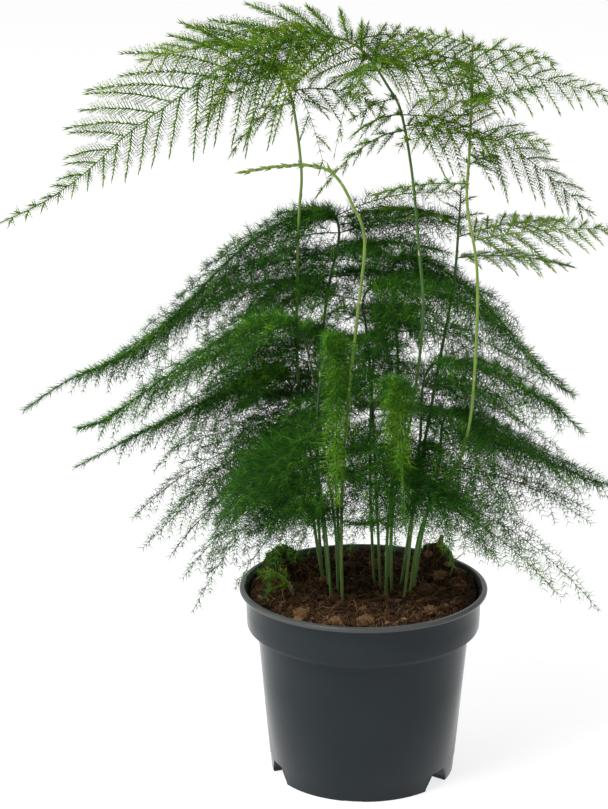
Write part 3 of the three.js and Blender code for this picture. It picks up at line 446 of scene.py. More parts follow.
def noise(made, scale, detail=2.0, stretch=None, roughness=0.5):
    """Noise in the object's own coordinates: `scale` spots in a millimetre."""
    place = output_of(made.node_tree, "TexCoord", "Object")
    if stretch:
        place = output_of(made.node_tree, "Mapping", "Vector", Vector=place, Scale=stretch)
    return output_of(made.node_tree, "TexNoise", "Fac", Vector=place, Scale=scale / MM, Detail=detail,
                     Roughness=roughness)


def level_of(tree, coordinate, axis, limits):
    """Where a point lies on an axis between the first two limits, as a value between the last two."""
    place = output_of(tree, "SeparateXYZ", axis, Vector=output_of(tree, "TexCoord", coordinate))
    low, high, least, most = limits
    return output_of(tree, "MapRange", "Result", Value=place, From_Min=low, From_Max=high,
                     To_Min=least, To_Max=most)


def height_between(made, low, high):
    """How far up a point is, from 0 at a low height to 1 at a high one."""
    return level_of(made.node_tree, "Object", "Z", (low * MM, high * MM, 0, 1))


def ramp(made, source, stops):
    node = made.node_tree.nodes.new("ShaderNodeValToRGB")
    feed(node.inputs["Fac"], source)
    elements = node.color_ramp.elements
    while len(elements) < len(stops):
        elements.new(0.5)
    for element, (position, colour) in zip(elements, stops):
        element.position = position
        element.color = (*colour, 1)
    return node.outputs["Color"]


def mixed(made, share, first, second, kind="MIX"):
    node = made.node_tree.nodes.new("ShaderNodeMix")
    node.data_type, node.blend_type = "RGBA", kind
    for number, value in ((0, share), (6, first), (7, second)):
        feed(node.inputs[number], value)
    return node.outputs[2]


def bumped(made, shader, source, strength, distance):
    bump = output_of(made.node_tree, "Bump", "Normal", Height=source, Strength=strength,
                     Distance=distance * MM)
    feed(shader.inputs["Normal"], bump)


def foliage_material(name, colour):
    """One tone of foliage, with patches and a fine grain that vary it."""
    made, shader = material(name, Roughness=0.55, Specular_IOR_Level=0.12)
    dark, light = (tuple(c * f for c, f in zip(colour, factors)) for factors in (NEEDLE_SHADE, NEEDLE_SHINE))
    patches = ramp(made, noise(made, 0.05, 2), [(0.34, dark), (0.52, colour), (0.7, light)])
    grain = ramp(made, noise(made, 0.7, 2), [(0.3, (0.7, 0.7, 0.7)), (0.7, (1.25, 1.25, 1.25))])
    feed(shader.inputs["Base Color"], mixed(made, 1, patches, grain, "MULTIPLY"))
    return made


def stem_material(name, low, high, top_z):
    """Colour runs up the stem from its pale foot, with fine streaks along it."""
    made, shader = material(name, Roughness=0.42, Specular_IOR_Level=0.4)
    stops = [(0.0, STEM_FOOT_COLOUR), (0.14, low), (0.6, high)]
    rise = ramp(made, height_between(made, STEM_FOOT_Z, top_z), stops)
    streaks = noise(made, 0.5, 3, stretch=(1, 1, 0.12))
    shade = ramp(made, streaks, [(0.3, (0.72, 0.75, 0.7)), (0.7, (1.2, 1.18, 1.15))])
    feed(shader.inputs["Base Color"], mixed(made, 1, rise, shade, "MULTIPLY"))
    bumped(made, shader, streaks, 0.4, 0.15)
    return made


def soil_material(name):
    """Rough matter in three colours, for the soil, what lies on it and the stems' papery scales."""
    made, shader = material(name, Roughness=0.95, Specular_IOR_Level=0.15)
    spots = noise(made, OWN_GRAIN.get(name, GRAIN), 6, roughness=0.7)
    feed(shader.inputs["Base Color"], ramp(made, spots, list(zip((0.34, 0.52, 0.7), SOIL_COLOURS[name]))))
    bumped(made, shader, noise(made, 1.6, 5, roughness=0.75), 0.8, 0.5)
    return made


# Camera, floor and light

def studio():
    camera = in_scene("camera", bpy.data.cameras.new("camera"))
    camera.location = CAMERA_PLACE
    camera.rotation_euler = (math.radians(CAMERA_TILT), 0, 0)
    camera.data.lens, camera.data.sensor_width = LENS, SENSOR
    bpy.context.scene.camera = camera
    mesh = bpy.data.meshes.new("floor")
    corners = [(x * FLOOR_REACH, y * FLOOR_REACH, 0) for x, y in ((-1, -1), (1, -1), (1, 1), (-1, 1))]
    mesh.from_pydata(corners, [], [(0, 1, 2, 3)])
    floor = in_scene("floor", mesh)
    pale, _ = material("pale_floor", Roughness=0.9, Specular_IOR_Level=0.0, Base_Color=(0.3, 0.3, 0.3, 1),
                       Emission_Color=(1, 1, 1, 1), Emission_Strength=FLOOR_GLOW)
    mesh.materials.append(pale)
    world = bpy.data.worlds.new("studio")
    bpy.context.scene.world = world
    world.use_nodes = True
    background = world.node_tree.nodes["Background"].inputs
    feed(background["Color"], (1, 1, 1, 1))
    feed(background["Strength"], level_of(world.node_tree, "Generated", "Y", WORLD_GLOW))
    for name, spot, size, power in LIGHTS:
        light = bpy.data.lights.new(name, "AREA")
        light.size, light.energy = size, power
        lamp = in_scene(name, light)
        lamp.location = spot
        x, y, z = np.array(LIGHTS_AIM) - np.array(spot)
        lamp.rotation_euler = (math.atan2(math.hypot(x, y), -z), 0, math.atan2(-x, y))
    bpy.context.scene.view_settings.view_transform = "Standard"


# Pot

def lathe(name, profile, sides):
    """A closed solid turned about Z from (radius, height) points, from the lower axis point to the upper."""
    (_, bottom), *ring, (_, top) = profile
    turn = 2 * np.pi * np.arange(sides) / sides
    points = [(r * math.cos(a), r * math.sin(a), z) for r, z in ring for a in turn]
    faces = []
    for i in range(len(ring) - 1):
        for d in range(sides):
            e = (d + 1) % sides
            faces.append((i * sides + d, i * sides + e, (i + 1) * sides + e, (i + 1) * sides + d))
    low, high = len(points), len(points) + 1
    points += [(0, 0, bottom), (0, 0, top)]
    last = (len(ring) - 1) * sides
    faces += [(low, (d + 1) % sides, d) for d in range(sides)]
    faces += [(high, last + d, last + (d + 1) % sides) for d in range(sides)]
    return solid(name, points, faces)


def solid(name, points, faces):
    mesh = bpy.data.meshes.new(name)
    mesh.from_pydata([tuple(c * MM for c in p) for p in points], [], faces)
    return in_scene(name, mesh)


def channel(azimuth, extra=0):
    """A drain channel's solid, thicker by `extra` on every side but the floor."""
    foot, top, roof = CHANNEL_FOOT_WIDTH / 2 + extra, CHANNEL_TOP_WIDTH / 2 + extra, CHANNEL_HEIGHT + extra
    section = [(-foot, -2), (foot, -2), (foot, 1.5), (top, roof), (-top, roof), (-foot, 1.5)]
    c, s = math.cos(math.radians(azimuth)), math.sin(math.radians(azimuth))
    points = [(out * c - w * s, out * s + w * c, z)
              for out in (CHANNEL_START - extra, CHANNEL_END) for w, z in section]
    n = len(section)
    faces = [tuple(range(n))[::-1], tuple(range(n, 2 * n))]
    faces += [(d, (d + 1) % n, (d + 1) % n + n, d + n) for d in range(n)]
    return solid("channel", points, faces)


def drain(azimuth):
    """A drain hole's solid, through the roof of a channel."""
    low, high, turn = -DRAIN_LENGTH / 2, DRAIN_LENGTH / 2, math.radians(azimuth)
    made = lathe("drain", [(0, low), (DRAIN_RADIUS, low), (DRAIN_RADIUS, high), (0, high)], DRAIN_SIDES)
    made.location = (DRAIN_DISTANCE * math.cos(turn) * MM, DRAIN_DISTANCE * math.sin(turn) * MM,
                     CHANNEL_HEIGHT * MM)
    return made


def cut(made, tools):
    """Takes the tools' solids out of a solid, and drops the tools."""
    for tool in tools:
        modifier = made.modifiers.new("cut", "BOOLEAN")
        modifier.operation, modifier.solver, modifier.object = "DIFFERENCE", "EXACT", tool
    bpy.context.view_layer.update()
    mesh = bpy.data.meshes.new_from_object(made.evaluated_get(bpy.context.evaluated_depsgraph_get()))
    made.modifiers.clear()
    made.data = mesh
    for tool in tools:
        bpy.data.objects.remove(tool)
    return made


def coat(made, surface):
    """Gives a solid one material and smooth faces."""
    made.data.materials.clear()
    made.data.materials.append(surface)
    for face in made.data.polygons:
        face.use_smooth = True


def pot_material():
    """Smooth dark plastic, paler on the top of its lip."""
    made, shader = material("pot_plastic", Specular_IOR_Level=0.14)
    clouds = ramp(made, noise(made, 0.02, 3), [(0.3, (0.015, 0.021, 0.0245)), (0.7, (0.020, 0.0265, 0.030))])
    # The top two millimetres of the lip are given a paler colour than the body
    lip_top = height_between(made, POT_HEIGHT - 3, POT_HEIGHT - 1)
    lip = ramp(made, lip_top, [(0.3, (0, 0, 0)), (0.6, (1, 1, 1))])
    feed(shader.inputs["Base Color"], mixed(made, lip, clouds, (0.07, 0.076, 0.072, 1)))
    gloss = ramp(made, noise(made, 0.03, 2), [(0.3, (0.15, 0.15, 0.15)), (0.7, (0.23, 0.23, 0.23))])
    feed(shader.inputs["Roughness"], gloss)
    bumped(made, shader, noise(made, 0.05, 1), 0.1, 0.3)
    return made


def pot():
    """The pot's outside, less its cavity, drain channels, drain holes and the small recess in its foot."""
    z, rim, foot, body = POT_HEIGHT, RIM_RADIUS, BODY_FOOT_RADIUS, BODY_TOP_RADIUS
    collar, step = COLLAR_RADIUS, COLLAR_FOOT_Z
    outside = lathe("pot_body", [
        (0, 0), (foot - 0.8, 0), (foot - 0.25, 0.2), (foot, 0.8), (foot + 0.72, 8.6), (foot + 0.98, 9.0),
        (body - 2.2, step - 26), (body - 0.2, step - 4.2), (body + 0.2, step - 2.4), (body + 1.2, step - 1.4),
        (collar - 1.7, step - 0.75), (collar - 0.8, step - 0.25), (collar - 0.45, step + 0.8),
        (collar - 0.2, z - 12), (collar, z - 4.2), (collar + 0.25, z - 3.2), (collar + 0.9, z - 2.75),
        (rim - 1.1, z - 2.6), (rim - 0.45, z - 2.3), (rim - 0.08, z - 1.7), (rim, z - 1.15),
        (rim - 0.12, z - 0.6), (rim - 0.5, z - 0.18), (rim - 1.1, z), (rim - 1.9, z - 0.04), (0, z - 0.04)],
        POT_SIDES)
    inside = lathe("cavity", [
        (0, FLOOR), (foot - WALL, FLOOR), (body - WALL, step - 1), (collar - WALL - 1, step + 0.8),
        (collar - WALL, z - 3.2), (rim - 3.3, z - 1.4), (rim - 2.95, z - 0.6), (rim - 2.45, z - 0.12),
        (rim - 1.95, z + 0.3), (0, z + 0.3)], POT_SIDES)
    cut(inside, [channel(a, WALL) for a in CHANNEL_AZIMUTHS])
    halves = (-0.5, 0.5)
    recess = solid("recess", [[size * part for size, part in zip(RECESS_SIZE, (x, y, w))]
                              for x in halves for y in halves for w in halves],
                   [(0, 1, 3, 2), (4, 6, 7, 5), (0, 4, 5, 1), (2, 3, 7, 6), (0, 2, 6, 4), (1, 5, 7, 3)])
    turn = math.radians(RECESS_AZIMUTH)
    recess.rotation_euler[2] = turn
    recess.location = (foot * MM * math.cos(turn), foot * MM * math.sin(turn), 0)
    channels, drains = ([make(a) for a in CHANNEL_AZIMUTHS] for make in (channel, drain))
    cut(outside, [*channels, inside, *drains, recess])
    coat(outside, pot_material())
    outside.data.set_sharp_from_angle(angle=math.radians(SHARP_ANGLE))
    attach(outside, "root")
    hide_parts("pot")


# Soil

def soil_height(x, y):
    """The soil's height with its heaps, hollows and lumps."""
    height = SOIL_LEVEL + sum(h * np.exp(-((x - cx) ** 2 + (y - cy) ** 2) / spread ** 2)
                              for cx, cy, spread, h in SOIL_HEAPS)
    lumps = LUMP_HEIGHT * np.sin(x * 0.42 + 1.3) * np.sin(y * 0.37 + 0.4)
    crumbs = CRUMB_HEIGHT * np.sin(x * 0.9 + y * 0.4) * np.sin(y * 0.83 - x * 0.3 + 2)
    return height + lumps + crumbs


def roughness_of(x, y):
    """Fine relief of the soil: waves of ever smaller length, each turned from the one before."""
    total = 0
    for k in range(ROUGH_WAVES):
        turn, wave = SPIRAL * k + 0.7, 0.55 * 1.22 ** k
        ahead = wave * (x * math.cos(turn) + y * math.sin(turn))
        sway = 1.3 * np.sin(0.31 * wave * (y - x) + k)
        total = total + (0.62 / wave ** 0.75) * np.sin(ahead + 1.7 * k + sway)
    return ROUGH_HEIGHT * total


def on_ground(x, y, lift=0):
    """Points of the soil's surface, or so far over it."""
    return np.stack([x, y, soil_height(x, y) + roughness_of(x, y) + lift], -1)


def kept_in(x, y, margin):
    """x and y, brought nearer to the middle where they lie less than a margin from the soil's edge."""
    shrink = np.minimum(1, (SOIL_EDGE - margin) / np.maximum(np.hypot(x, y), 1e-6))
    return x * shrink, y * shrink


def soil():
    """The soil's body, whose top follows the heaps and hollows and meets the pot in an even edge."""
    wall = WALL + GAP
    side = [(0, FLOOR + GAP), (BODY_FOOT_RADIUS - wall, FLOOR + GAP),
            (BODY_TOP_RADIUS - wall, COLLAR_FOOT_Z - 0.7), (COLLAR_RADIUS - wall - 1, COLLAR_FOOT_Z + 1.1)]
    top = [(SOIL_EDGE * (1 - i / SOIL_RINGS), POT_HEIGHT) for i in range(SOIL_RINGS + 1)]
    made = lathe("soil_body", [*side, *top], SOIL_SIDES)
    for vertex in made.data.vertices:
        x, y, z = (c / MM for c in vertex.co)
        if z > POT_HEIGHT - 1:
            fade = min(1, (SOIL_EDGE - math.hypot(x, y)) / 4)
            vertex.co.z = (soil_height(x, y) + fade * roughness_of(x, y)) * MM
    cut(made, [channel(a, wall + 0.1) for a in CHANNEL_AZIMUTHS])
    coat(made, soil_material("soil_peat"))
    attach(made, "root")
    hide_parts("soil")


def on_soil(n, seed, margin):
    """Points drawn on the soil, at least a margin from its edge."""
    k = np.arange(n)
    radius, turn = (SOIL_EDGE - margin) * np.sqrt(draw(k, seed)), 2 * np.pi * draw(k, seed + 1)
    return on_ground(radius * np.cos(turn), radius * np.sin(turn))


def fibres():
    """Coir fibres, loose in shallow bends and in balls, and two pieces of old twig."""
    skin = Skin()
    k = np.arange(FIBRES)[:, None]
    root = on_soil(FIBRES, 11.3, 3)
    length, turn = 3 + 8 * draw(k, 2.1) ** 2, 2 * np.pi * draw(k, 5.2)
    t = np.linspace(-0.5, 0.5, 5)[None]
    heading = turn + 3.4 * (draw(k, 8.8) - 0.5) * t
    x, y = root[:, :1] + length * t * np.cos(heading), root[:, 1:2] + length * t * np.sin(heading)
    lift = 0.25 + 4 * draw(k, 9.1) ** 3 * (0.5 + t) + 0.4 * np.sin(9 * t + k)
    lines = on_ground(*kept_in(x, y, 0.8), lift)
    thick = (0.10 + 0.14 * draw(k, 3.7) ** 2) * (1 - 0.7 * np.abs(2 * t) ** 3)
    for tone in range(3):
        skin.tubes(lines[tone::3], thick[tone::3], 3, tone)

    k = np.arange(BALL_FIBRES)[:, None]
    thick = 0.17 * (1 - 0.6 * np.abs(2 * t) ** 3) * np.ones(k.shape)
    for number, (x, y, size) in enumerate(FIBRE_BALLS):
        first, second = (np.stack([draw(k, number + part) - 0.5 for part in parts], -1)
                         for parts in ((0.1, 0.2, 0.3), (0.4, 0.5, 0.6)))
        first = unit(first)
        bend = (0.9 + 1.6 * draw(k, number + 0.7)) * 2 * t
        out = size * (0.35 + 0.7 * draw(k, number + 0.8))
        middle = np.array([x, y, soil_height(x, y) + 0.25 * size])
        lines = middle + leant(first, across(second, first), bend) * column(out) * (1, 1, 0.75)
        skin.tubes(lines, thick, 3, 1)

    stubs = np.array(STUBS)
    stubs[:, :, 2] += soil_height(stubs[:, :1, 0], stubs[:, :1, 1]) - 0.4
    skin.tubes(stubs, np.array(STUB_RADII), 7, 2)
    made = skin.object("soil_fibres", [soil_material("fibre_%d" % i) for i in range(3)])


def moss():
    """Short green blades in patches on the soil."""
    skin = Skin()
    k = np.arange(MOSS_BLADES)
    drawn = (6 * draw(k, 1.9)).astype(int) % len(MOSS_PATCHES)
    patch = np.array(MOSS_PATCHES)[np.where(draw(k, 2.9) > MAIN_PATCH_SHARE, drawn, 0)]
    out, turn = patch[:, 2] * np.sqrt(draw(k, 3.9)), 2 * np.pi * draw(k, 4.9)
    root = on_ground(*kept_in(patch[:, 0] + out * np.cos(turn), patch[:, 1] + out * np.sin(turn), 1.5), -0.2)
    lean = np.stack([draw(k, 5.9) - 0.5, draw(k, 6.9) - 0.5, 0.55 + 0 * k], -1)
    tip = root + unit(lean) * column(0.9 + 1.5 * draw(k, 7.9) ** 2)
    tip[:, :2] = np.stack(kept_in(tip[:, 0], tip[:, 1], 0.8), -1)
    skin.spikes(root, tip, 0.26)
    made = skin.object("soil_moss", [soil_material("moss")], smooth=False)


def crumbs():
    """Crumbs of peat, paler chips of bark and large clods: knobbly balls of twenty faces."""
    skin = Skin()
    golden = (1 + 5 ** 0.5) / 2
    flat = [(0, s, t * golden) for s in (-1, 1) for t in (-1, 1)]
    ball = unit(np.array(flat + [(s, g, o) for o, s, g in flat] + [(g, o, s) for o, s, g in flat]))
    hull = []
    for face in combinations(range(len(ball)), 3):
        a, b, c = ball[list(face)]
        if max(np.linalg.norm(a - b), np.linalg.norm(b - c), np.linalg.norm(c - a)) < 1.1:
            hull.append(face if np.dot(np.cross(b - a, c - a), a) > 0 else face[::-1])
    for kind, (n, seed, small, large) in enumerate(LOOSE_LUMPS):
        k = np.arange(n)
        centre = on_soil(n, seed, 2.5)
        size = small + (large - small) * draw(k, seed + 4) ** 3
        stretch = np.stack([0.7 + 0.8 * draw(k, seed + 5 + i) for i in range(3)], -1) * (1, 1, 0.7)
        knobs = 0.75 + 0.5 * draw(k[:, None] * 12.0 + np.arange(12), seed)
        x, y, z = np.moveaxis(ball * knobs[..., None] * stretch[:, None] * size[:, None, None], -1, 0)
        turn = 2 * np.pi * draw(k, seed + 9)[:, None]
        points = [x * np.cos(turn) - y * np.sin(turn), x * np.sin(turn) + y * np.cos(turn), z]
        skin.shells(np.stack(points, -1) + centre[:, None], np.array(hull), kind)
    surfaces = [soil_material(name) for name in ("crumb_peat", "crumb_bark", "crumb_clod")]
    made = skin.object("soil_crumbs", surfaces, smooth=False)


# Foliage

def catmull(route, t):
    """The stem's curve through its route, at shares t of it."""
    points = np.array(route, float)
    n = len(points)
    p = np.clip(np.asarray(t, float), 0, 1) * (n - 1)
    i = np.minimum(np.floor(p).astype(int), n - 2)
    w = (p - i)[..., None]
    full = np.concatenate([[2 * points[0] - points[1]], points, [2 * points[-1] - points[-2]]])
    a, b, c, d = (full[i + k] for k in range(4))
    start, end = 0.5 * (c - a), 0.5 * (d - b)
    second, third = -3 * b + 3 * c - 2 * start - end, 2 * b - 2 * c + start + end
    return b + start * w + second * w ** 2 + third * w ** 3


def point_at_height(route, height):
    """Where a stem first reaches a height, or its tip."""
    line = catmull(route, np.arange(401) / 400)
    over = np.nonzero(line[:, 2] >= height)[0]
    return line[over[0]] if len(over) else line[-1]


def spray_axis(start, azimuth, reach, slope, rise):
    """A spray's axis leaves the stem at a slope and droops to its tip along a parabola."""
    turn = math.radians(azimuth)
    climb = reach * math.tan(math.radians(slope))

    def axis(t):
        t = np.asarray(t, float)
        return np.stack([start[0] + reach * t * math.cos(turn), start[1] + reach * t * math.sin(turn),
                         start[2] + climb * t + (rise - climb) * t * t], -1)
    return axis


def along_at(axis, share):
    share = np.asarray(share, float)
    return unit(axis(np.minimum(1, share + 0.01)) - axis(np.maximum(0, share - 0.01)))


def rolled_normal(roll):
    """The way that a spray's flat side faces, from the roll of its plane."""
    def normal(along, share):
        return turned(upright(along), along, math.radians(roll))
    return normal


def facing_normal(facing, tip_facing):
    """The way that a crown's flat side faces, at its start and at its tip."""
    def normal(along, share):
        share = np.broadcast_to(column(share), along.shape)
        return across(np.array(facing, float) * (1 - share) + np.array(tip_facing, float) * share, along)
    return normal


def spread(lengths, spacing):
    """Members along lines of given lengths: the line of each, its number on it, and the line's count."""
    counts = np.maximum(1, np.round(lengths / spacing)).astype(int)
    owner = np.repeat(np.arange(len(counts)), counts)
    number = np.arange(counts.sum()) - np.repeat(np.cumsum(counts) - counts, counts)
    return owner, number, counts[owner]


def hanging(root, way, length, sag):
    """Twigs that sag: the result gives the points at shares t of the twigs k."""
    def on_twig(k, t):
        return root[k] + way[k] * column(length[k] * t) - UP * column(sag * length[k] * t * t)
    return on_twig


def feathers(skin, on_twig, length, way, side, normal, habit, fresh, seed):
    """Young twigs: opposite branchlets make each a narrow feather, which closes up to a blunt tip."""
    k, j, n = spread(length, habit["node"] + 0.022 * length)
    t = (j + 0.5 + 0.3 * (draw(j + 3.0 * k, seed) - 0.5)) / n
    tip = np.clip(5 * t - 4, 0, 1)
    size = np.clip(0.14 * length[k] + 1.9, 2.8, habit["longest"])
    size = size * np.minimum(1, 0.4 + 3.2 * t) * (1 - t) ** 0.6 + 1.5
    foot, along, out, up = on_twig(k, t), way[k], side[k], normal[k]
    tone = fresh[k] + habit["fresh"] * t ** 2
    strands = []
    for hand in (1, -1):
        own = draw(j + 3.0 * k, seed + 2 + hand) - 0.5
        tilt = np.radians((habit["lean"] - 12 * t + 12 * own) * (1 - 0.8 * tip))
        lift = 0.35 * (draw(j + 3.0 * k, seed + 7 + hand) - 0.5)
        strands.append(leant(along, out * hand + up * column(lift), tilt)
                       * column(size * (0.8 + 0.4 * draw(j + 5.0 * k, seed + hand))))
    skin.pairs(foot, along, *strands, habit["thick"], tones(j + 7.0 * k, seed, tone))

    # Short needles that stand off the twig's two faces, and those on its longer branchlets
    aside = out * column(0.8 * (draw(j + 9.0 * k, seed) - 0.5))
    faces = [leant(along, up * hand + aside, np.radians(48 * (1 - 0.8 * tip))) * habit["needle"]
             for hand in (1, -1)]
    skin.pairs(foot + along * 0.4, along, *faces, habit["thick"], tones(j + 4.0 * k, seed, tone))
    long = size > 3.6
    for share in (0.4, 0.7):
        reach = habit["fuzz"] * (1.3 - 0.6 * share)
        for strand in strands:
            ahead = unit(strand[long])
            beside = across(np.cross(up[long], ahead), ahead)
            fine = [(ahead * 0.72 + beside * (0.7 * hand)) * reach for hand in (1, -1)]
            skin.pairs(foot[long] + strand[long] * share, ahead, *fine, habit["fuzz_root"],
                       tones(j[long] + 6.0 * k[long] + share, seed, tone[long]))
    twig = np.arange(len(length))
    end, near = on_twig(twig, 0.97), on_twig(twig, 0.87)
    skin.needles(end, unit(end - near) * BUD_LENGTH, BUD_THICK, tones(1.0 * twig, seed, fresh + 0.55))


def brushes(skin, on_twig, length, way, side, normal, habit, fresh, seed):
    """Older twigs: branchlets on the longer ones, and whorls of long needles on all of them."""
    k, j, n = spread(length, habit["branchlet"])
    at = (j + 0.6) / (n + 0.4)
    room = np.clip((length[k] - habit["bushy"]) / 8, 0, 1)
    size = np.minimum(habit["longest"], 0.36 * length[k]) * room
    size = size * np.minimum(1, 0.45 + 1.6 * at) * (1 - at) ** 0.6
    keep = size > 0.9
    k, at, size, j = k[keep], at[keep], size[keep], j[keep]
    hand = np.where(j % 2, -1.0, 1.0)
    tilt = np.radians(52 + 16 * (draw(j + 7.0 * k, seed + 3) - 0.5))
    out = side[k] * column(hand) + normal[k] * column(0.5 * (draw(j + 5.0 * k, seed + 4) - 0.5))
    aim, foot = unit(leant(way[k], unit(out), tilt)), on_twig(k, at)
    skin.spikes(foot, foot + aim * column(size), 0.12, TWIG)
    o, m, c = spread(length, habit["node"])
    t = (m + 0.6 + 0.5 * (draw(m + 3.0 * o, seed + 5) - 0.5)) / c
    skin.whorls(on_twig(o, t), way[o], across(normal[o], way[o]), habit["needle"] * (1 - 0.25 * t), habit, t,
                fresh[o], seed)
    if len(k):
        o, m, c = spread(size, habit["node"])
        t = (m + 0.8) / (c + 0.1)
        skin.whorls(foot[o] + aim[o] * column(size[o] * t), aim[o], across(normal[k][o], aim[o]),
                    habit["needle"] * (0.9 - 0.2 * t), habit, np.maximum(t * 0.6, at[o]), fresh[k][o],
                    seed + 2)


def thatch(skin, axis, reach, habit, fresh, seed):
    """Short hanging twigs that clothe an axis on every side, close along it."""
    count = round(THATCH_END * reach / THATCH_SPACING)
    i = np.arange(count)
    share = THATCH_END * (i + 0.5) / count
    along = along_at(axis, share)
    up = upright(along)
    turn, lean = SPIRAL * i + draw(i, seed), np.radians(20 + 26 * draw(i, seed + 1))
    way = unit(leant(along, turned(up, along, column(turn)), lean))
    length = THATCH_LENGTH * (0.6 + 0.6 * draw(i, seed + 2)) * (1 - 0.8 * share)
    length = length * (1 - THATCH_RISING_LOSS * np.clip(np.cos(turn), 0, 1)) + LEAST_TWIG
    on_twig = hanging(axis(share), way, length, THATCH_SAG)
    lines = np.stack([on_twig(i, s) for s in (0, 0.5, 1)], 1)
    skin.tubes(lines, np.broadcast_to(habit["twig_radius"] * np.array([1, 0.8, 0.5]), (count, 3)), 3, TWIG)
    o, m, c = spread(length, habit["node"])
    t = (m + 0.6) / c
    skin.whorls(on_twig(o, t), unit(way[o] - UP * column(2 * THATCH_SAG * t)), across(up[o], way[o]),
                habit["needle"] * (1 - 0.25 * t), habit, t,
                THATCH_FRESH + fresh * np.clip(3 * share[o] - 1, 0, 1), seed + 3)


def plume(skin, axis, reach, width, normal_at, habit, fresh, seed, sag, rope=False):
    """Everything that an axis bears: side twigs, and needles on them and on itself. A rope is an axis that
    needles clothe from its start, and whose growth is fresh only in its outer part."""
    def freshness(share):
        return fresh * (np.clip(3 * share - 1, 0, 1) if rope else np.ones(len(share)))

    count = max(3, round(reach / habit["twig"]))
    i = np.arange(count)
    share = 0.03 + 0.95 * i / (count - 0.5)
    along = along_at(axis, share)
    normal = normal_at(along, share)
    out = np.cross(normal, along) * column(np.where(i % 2, -1.0, 1.0))
    upper = np.clip(1.4 * out[:, 2], 0, 1) * np.clip(4 * share - 0.8, 0, 1)
    wider, longer = habit.get("upper", (0, 0))
    angle = TWIG_ANGLE - ANGLE_CLOSES * share + ANGLE_VARIES * (draw(i, seed) - 0.5) + wider * upper
    way = unit(leant(along, out, np.radians(angle)) + normal * column(0.3 * (draw(i, seed + 2) - 0.5)))
    swell = np.minimum(1, 0.5 + 2.2 * share)
    if rope or longer:
        swell = np.minimum(swell, np.maximum(0.92 - share, 0) / 0.3) * (1 + longer * upper)
    length = width * swell * (1 - share) ** 0.75 * (0.82 + 0.3 * draw(i, seed + 1))
    length = np.maximum(length * (1 - RISING_LOSS * np.clip(way[:, 2], 0, 1)), LEAST_TWIG)
    on_twig = hanging(axis(share), way, length, sag)
    t = np.linspace(0, 1, 4)
    lines = np.stack([on_twig(i, s) for s in t], 1)
    skin.tubes(lines, habit["twig_radius"] * (1 - 0.6 * t)[None] * np.ones((count, 1)), 3, TWIG)
    bear, clothe = (feathers, clothe_young) if "fuzz" in habit else (brushes, clothe_old)
    bear(skin, on_twig, length, way, unit(np.cross(normal, way)), across(normal, way), habit,
         freshness(share), seed)
    if rope:
        thatch(skin, axis, reach, habit, fresh, seed + 0.5)
    clothe(skin, axis, reach, normal_at, habit, freshness, seed, rope)


def clothe_young(skin, axis, reach, normal_at, habit, freshness, seed, _):
    """Pairs of needles on a young axis itself."""
    share = np.linspace(0.04, 1, max(4, round(reach / (1.4 * habit["node"]))))
    along = along_at(axis, share)
    out = unit(np.cross(normal_at(along, share), along))
    lean = np.radians(50 * (1 - 0.75 * np.clip(6 * share - 5, 0, 1)))
    size = habit["needle"] * (0.8 + 0.5 * share)
    two = [leant(along, out, hand * lean) * column(size) for hand in (1, -1)]
    skin.pairs(axis(share), along, *two, habit["thick"],
               tones(share * 90, seed, freshness(share) + habit["fresh"] * share))


def clothe_old(skin, axis, reach, normal_at, habit, freshness, seed, rope):
    """Whorls of needles on an older axis itself, closer on a rope."""
    first, close = (0, 2.2) if rope else (0.08, 0.9)
    share = np.linspace(first, 1, max(4, round(close * reach / habit["node"])))
    along = along_at(axis, share)
    skin.whorls(axis(share), along, normal_at(along, share), habit["needle"] * (1.05 - 0.25 * share), habit,
                share, freshness(share), seed + 4)


def scales(skin, curve, shares, size, kind):
    """Small papery scales that clasp a stem at its nodes."""
    at, along = curve(shares), along_at(curve, shares)
    first = across(np.broadcast_to([0.3, 1.0, 0.2], along.shape), along)
    out = turned(first, along, column(SPIRAL * np.arange(len(shares))))
    root = at + out * 0.35
    skin.spikes(root - along * 0.8, root + along * size + out * 0.45 * size, 0.75, kind)


def companions(sprays, seed):
    """Smaller sprays between those of a dense stem, at drawn heights and turns."""
    rows = []
    for number, (height, azimuth, reach, slope, rise, span, roll) in enumerate(sprays):
        a, b, c, d = (float(draw(number, seed + i)) for i in range(4))
        turn = math.radians(azimuth - 28 - 26 * b)
        if math.cos(turn) > OPEN_SIDE and reach > LONG_REACH:
            continue
        start = height - 4 - 8 * a
        lowest = LOWEST_FRONT_TIP if math.sin(turn) < 0.2 else LOWEST_TIP
        rows.append([start, math.degrees(turn), reach * (0.62 + 0.3 * c), slope + 8 * (d - 0.5),
                     max(rise * (0.55 + 0.5 * a), lowest - start), span * 0.85, roll + 50 * (b - 0.5)])
    return rows


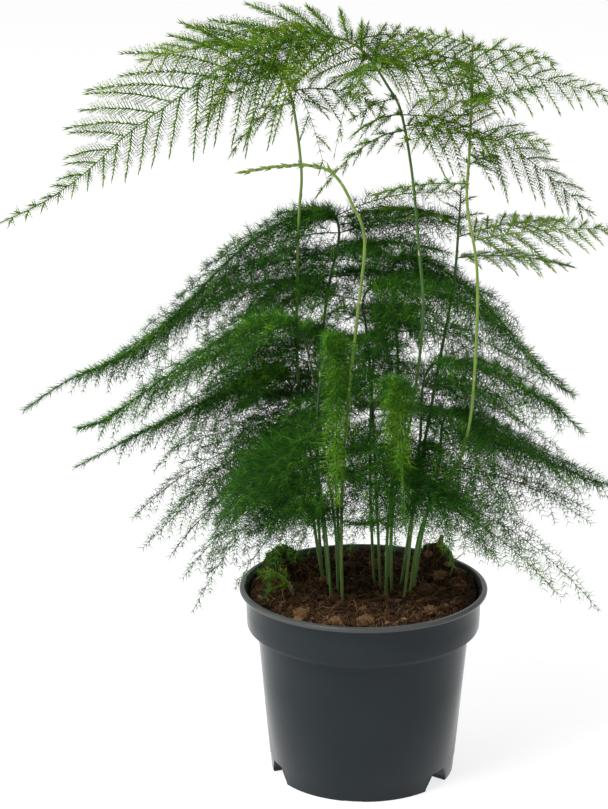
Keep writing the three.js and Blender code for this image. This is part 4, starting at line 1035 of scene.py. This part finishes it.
def stem(name, crown, width, facing, route, sprays, slot="leafy_dark", tip_facing=None, sag=TWIG_SAG,
         more=(), fresh=None, own=None, crown_own=None):
    """A stem, the crown that its outer part bears, and its sprays, as one piece."""
    def curve(t):
        return catmull(route, t)

    def crown_axis(t):
        return curve(np.minimum(1, crown + (1 - crown) * np.asarray(t, float)))

    skin = Skin()
    dense = slot == "leafy_dark"
    habit = {**(DENSE if dense else YOUNG), **(own or {})}
    seed = 10.0 * list(STEMS).index(name) + 1
    fresh = fresh or {}
    shares = np.linspace(0, 1, 64)
    foot_radius = STEM_FOOT_RADIUS * (0.72 + 0.34 * draw(seed, 3))
    radii = np.interp(shares, (0, crown, crown + 0.1, 1.001),
                      (foot_radius, STEM_TOP_RADIUS, CROWN_RADIUS, CROWN_TIP_RADIUS))
    skin.tubes(curve(shares)[None], radii[None], 8, BARE)
    if crown < 1:
        start, middle, end = crown_axis([0, 0.5, 1])
        reach = np.linalg.norm(middle - start) + np.linalg.norm(end - middle)
        plume(skin, crown_axis, reach, width, facing_normal(facing, tip_facing or facing),
              {**habit, **(crown_own or {})}, fresh.get(0, 0), seed, sag, rope=dense)
        scales(skin, curve, np.linspace(0.05, crown, 9), 2.1, PAPER)
    else:
        scales(skin, curve, np.linspace(0.08, 0.75, 9), 2.2, PAPER)
        scales(skin, curve, np.linspace(0.78, 1.0, 22), 2.6, BARE)
        skin.tubes((curve(SIDE_BUD_AT) + SIDE_BUD)[None], np.array([SIDE_BUD_RADII]), 6, BARE)
    rows = [*sprays, *(companions(sprays, seed) if dense else []), *more]
    for number, (height, azimuth, reach, slope, rise, span, roll) in enumerate(rows, 1):
        start = point_at_height(route, height)
        axis = spray_axis(start, azimuth, reach, slope, rise)
        t = np.linspace(0, 1, 12)
        skin.tubes(axis(t)[None], (SPRAY_RADIUS + (SPRAY_TIP_RADIUS - SPRAY_RADIUS) * t)[None], 4, TWIG)
        plume(skin, axis, reach, span, rolled_normal(roll), habit, fresh.get(number, 0), seed + number, sag)
        skin.spikes(start[None] - (0, 0, 0.8), start[None] + (0, 0, 2.2), 1.0, PAPER)
    made = skin.object(name + "_foliage", FOLIAGE[slot])
    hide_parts(name)


studio()
pot()
soil()
fibres()
crumbs()
moss()
papery = soil_material("papery_scale")
FOLIAGE = {}
for tone, (needles, twigs, low, high, top_z) in FOLIAGE_COLOURS.items():
    FOLIAGE["leafy_" + tone] = [
        *(foliage_material("needles_%s_%d" % (tone, i), colour) for i, colour in enumerate(needles)),
        foliage_material("twigs_" + tone, twigs), stem_material("stem_" + tone, low, high, top_z), papery]
for stem_name, row in STEMS.items():
    stem(stem_name, **row)
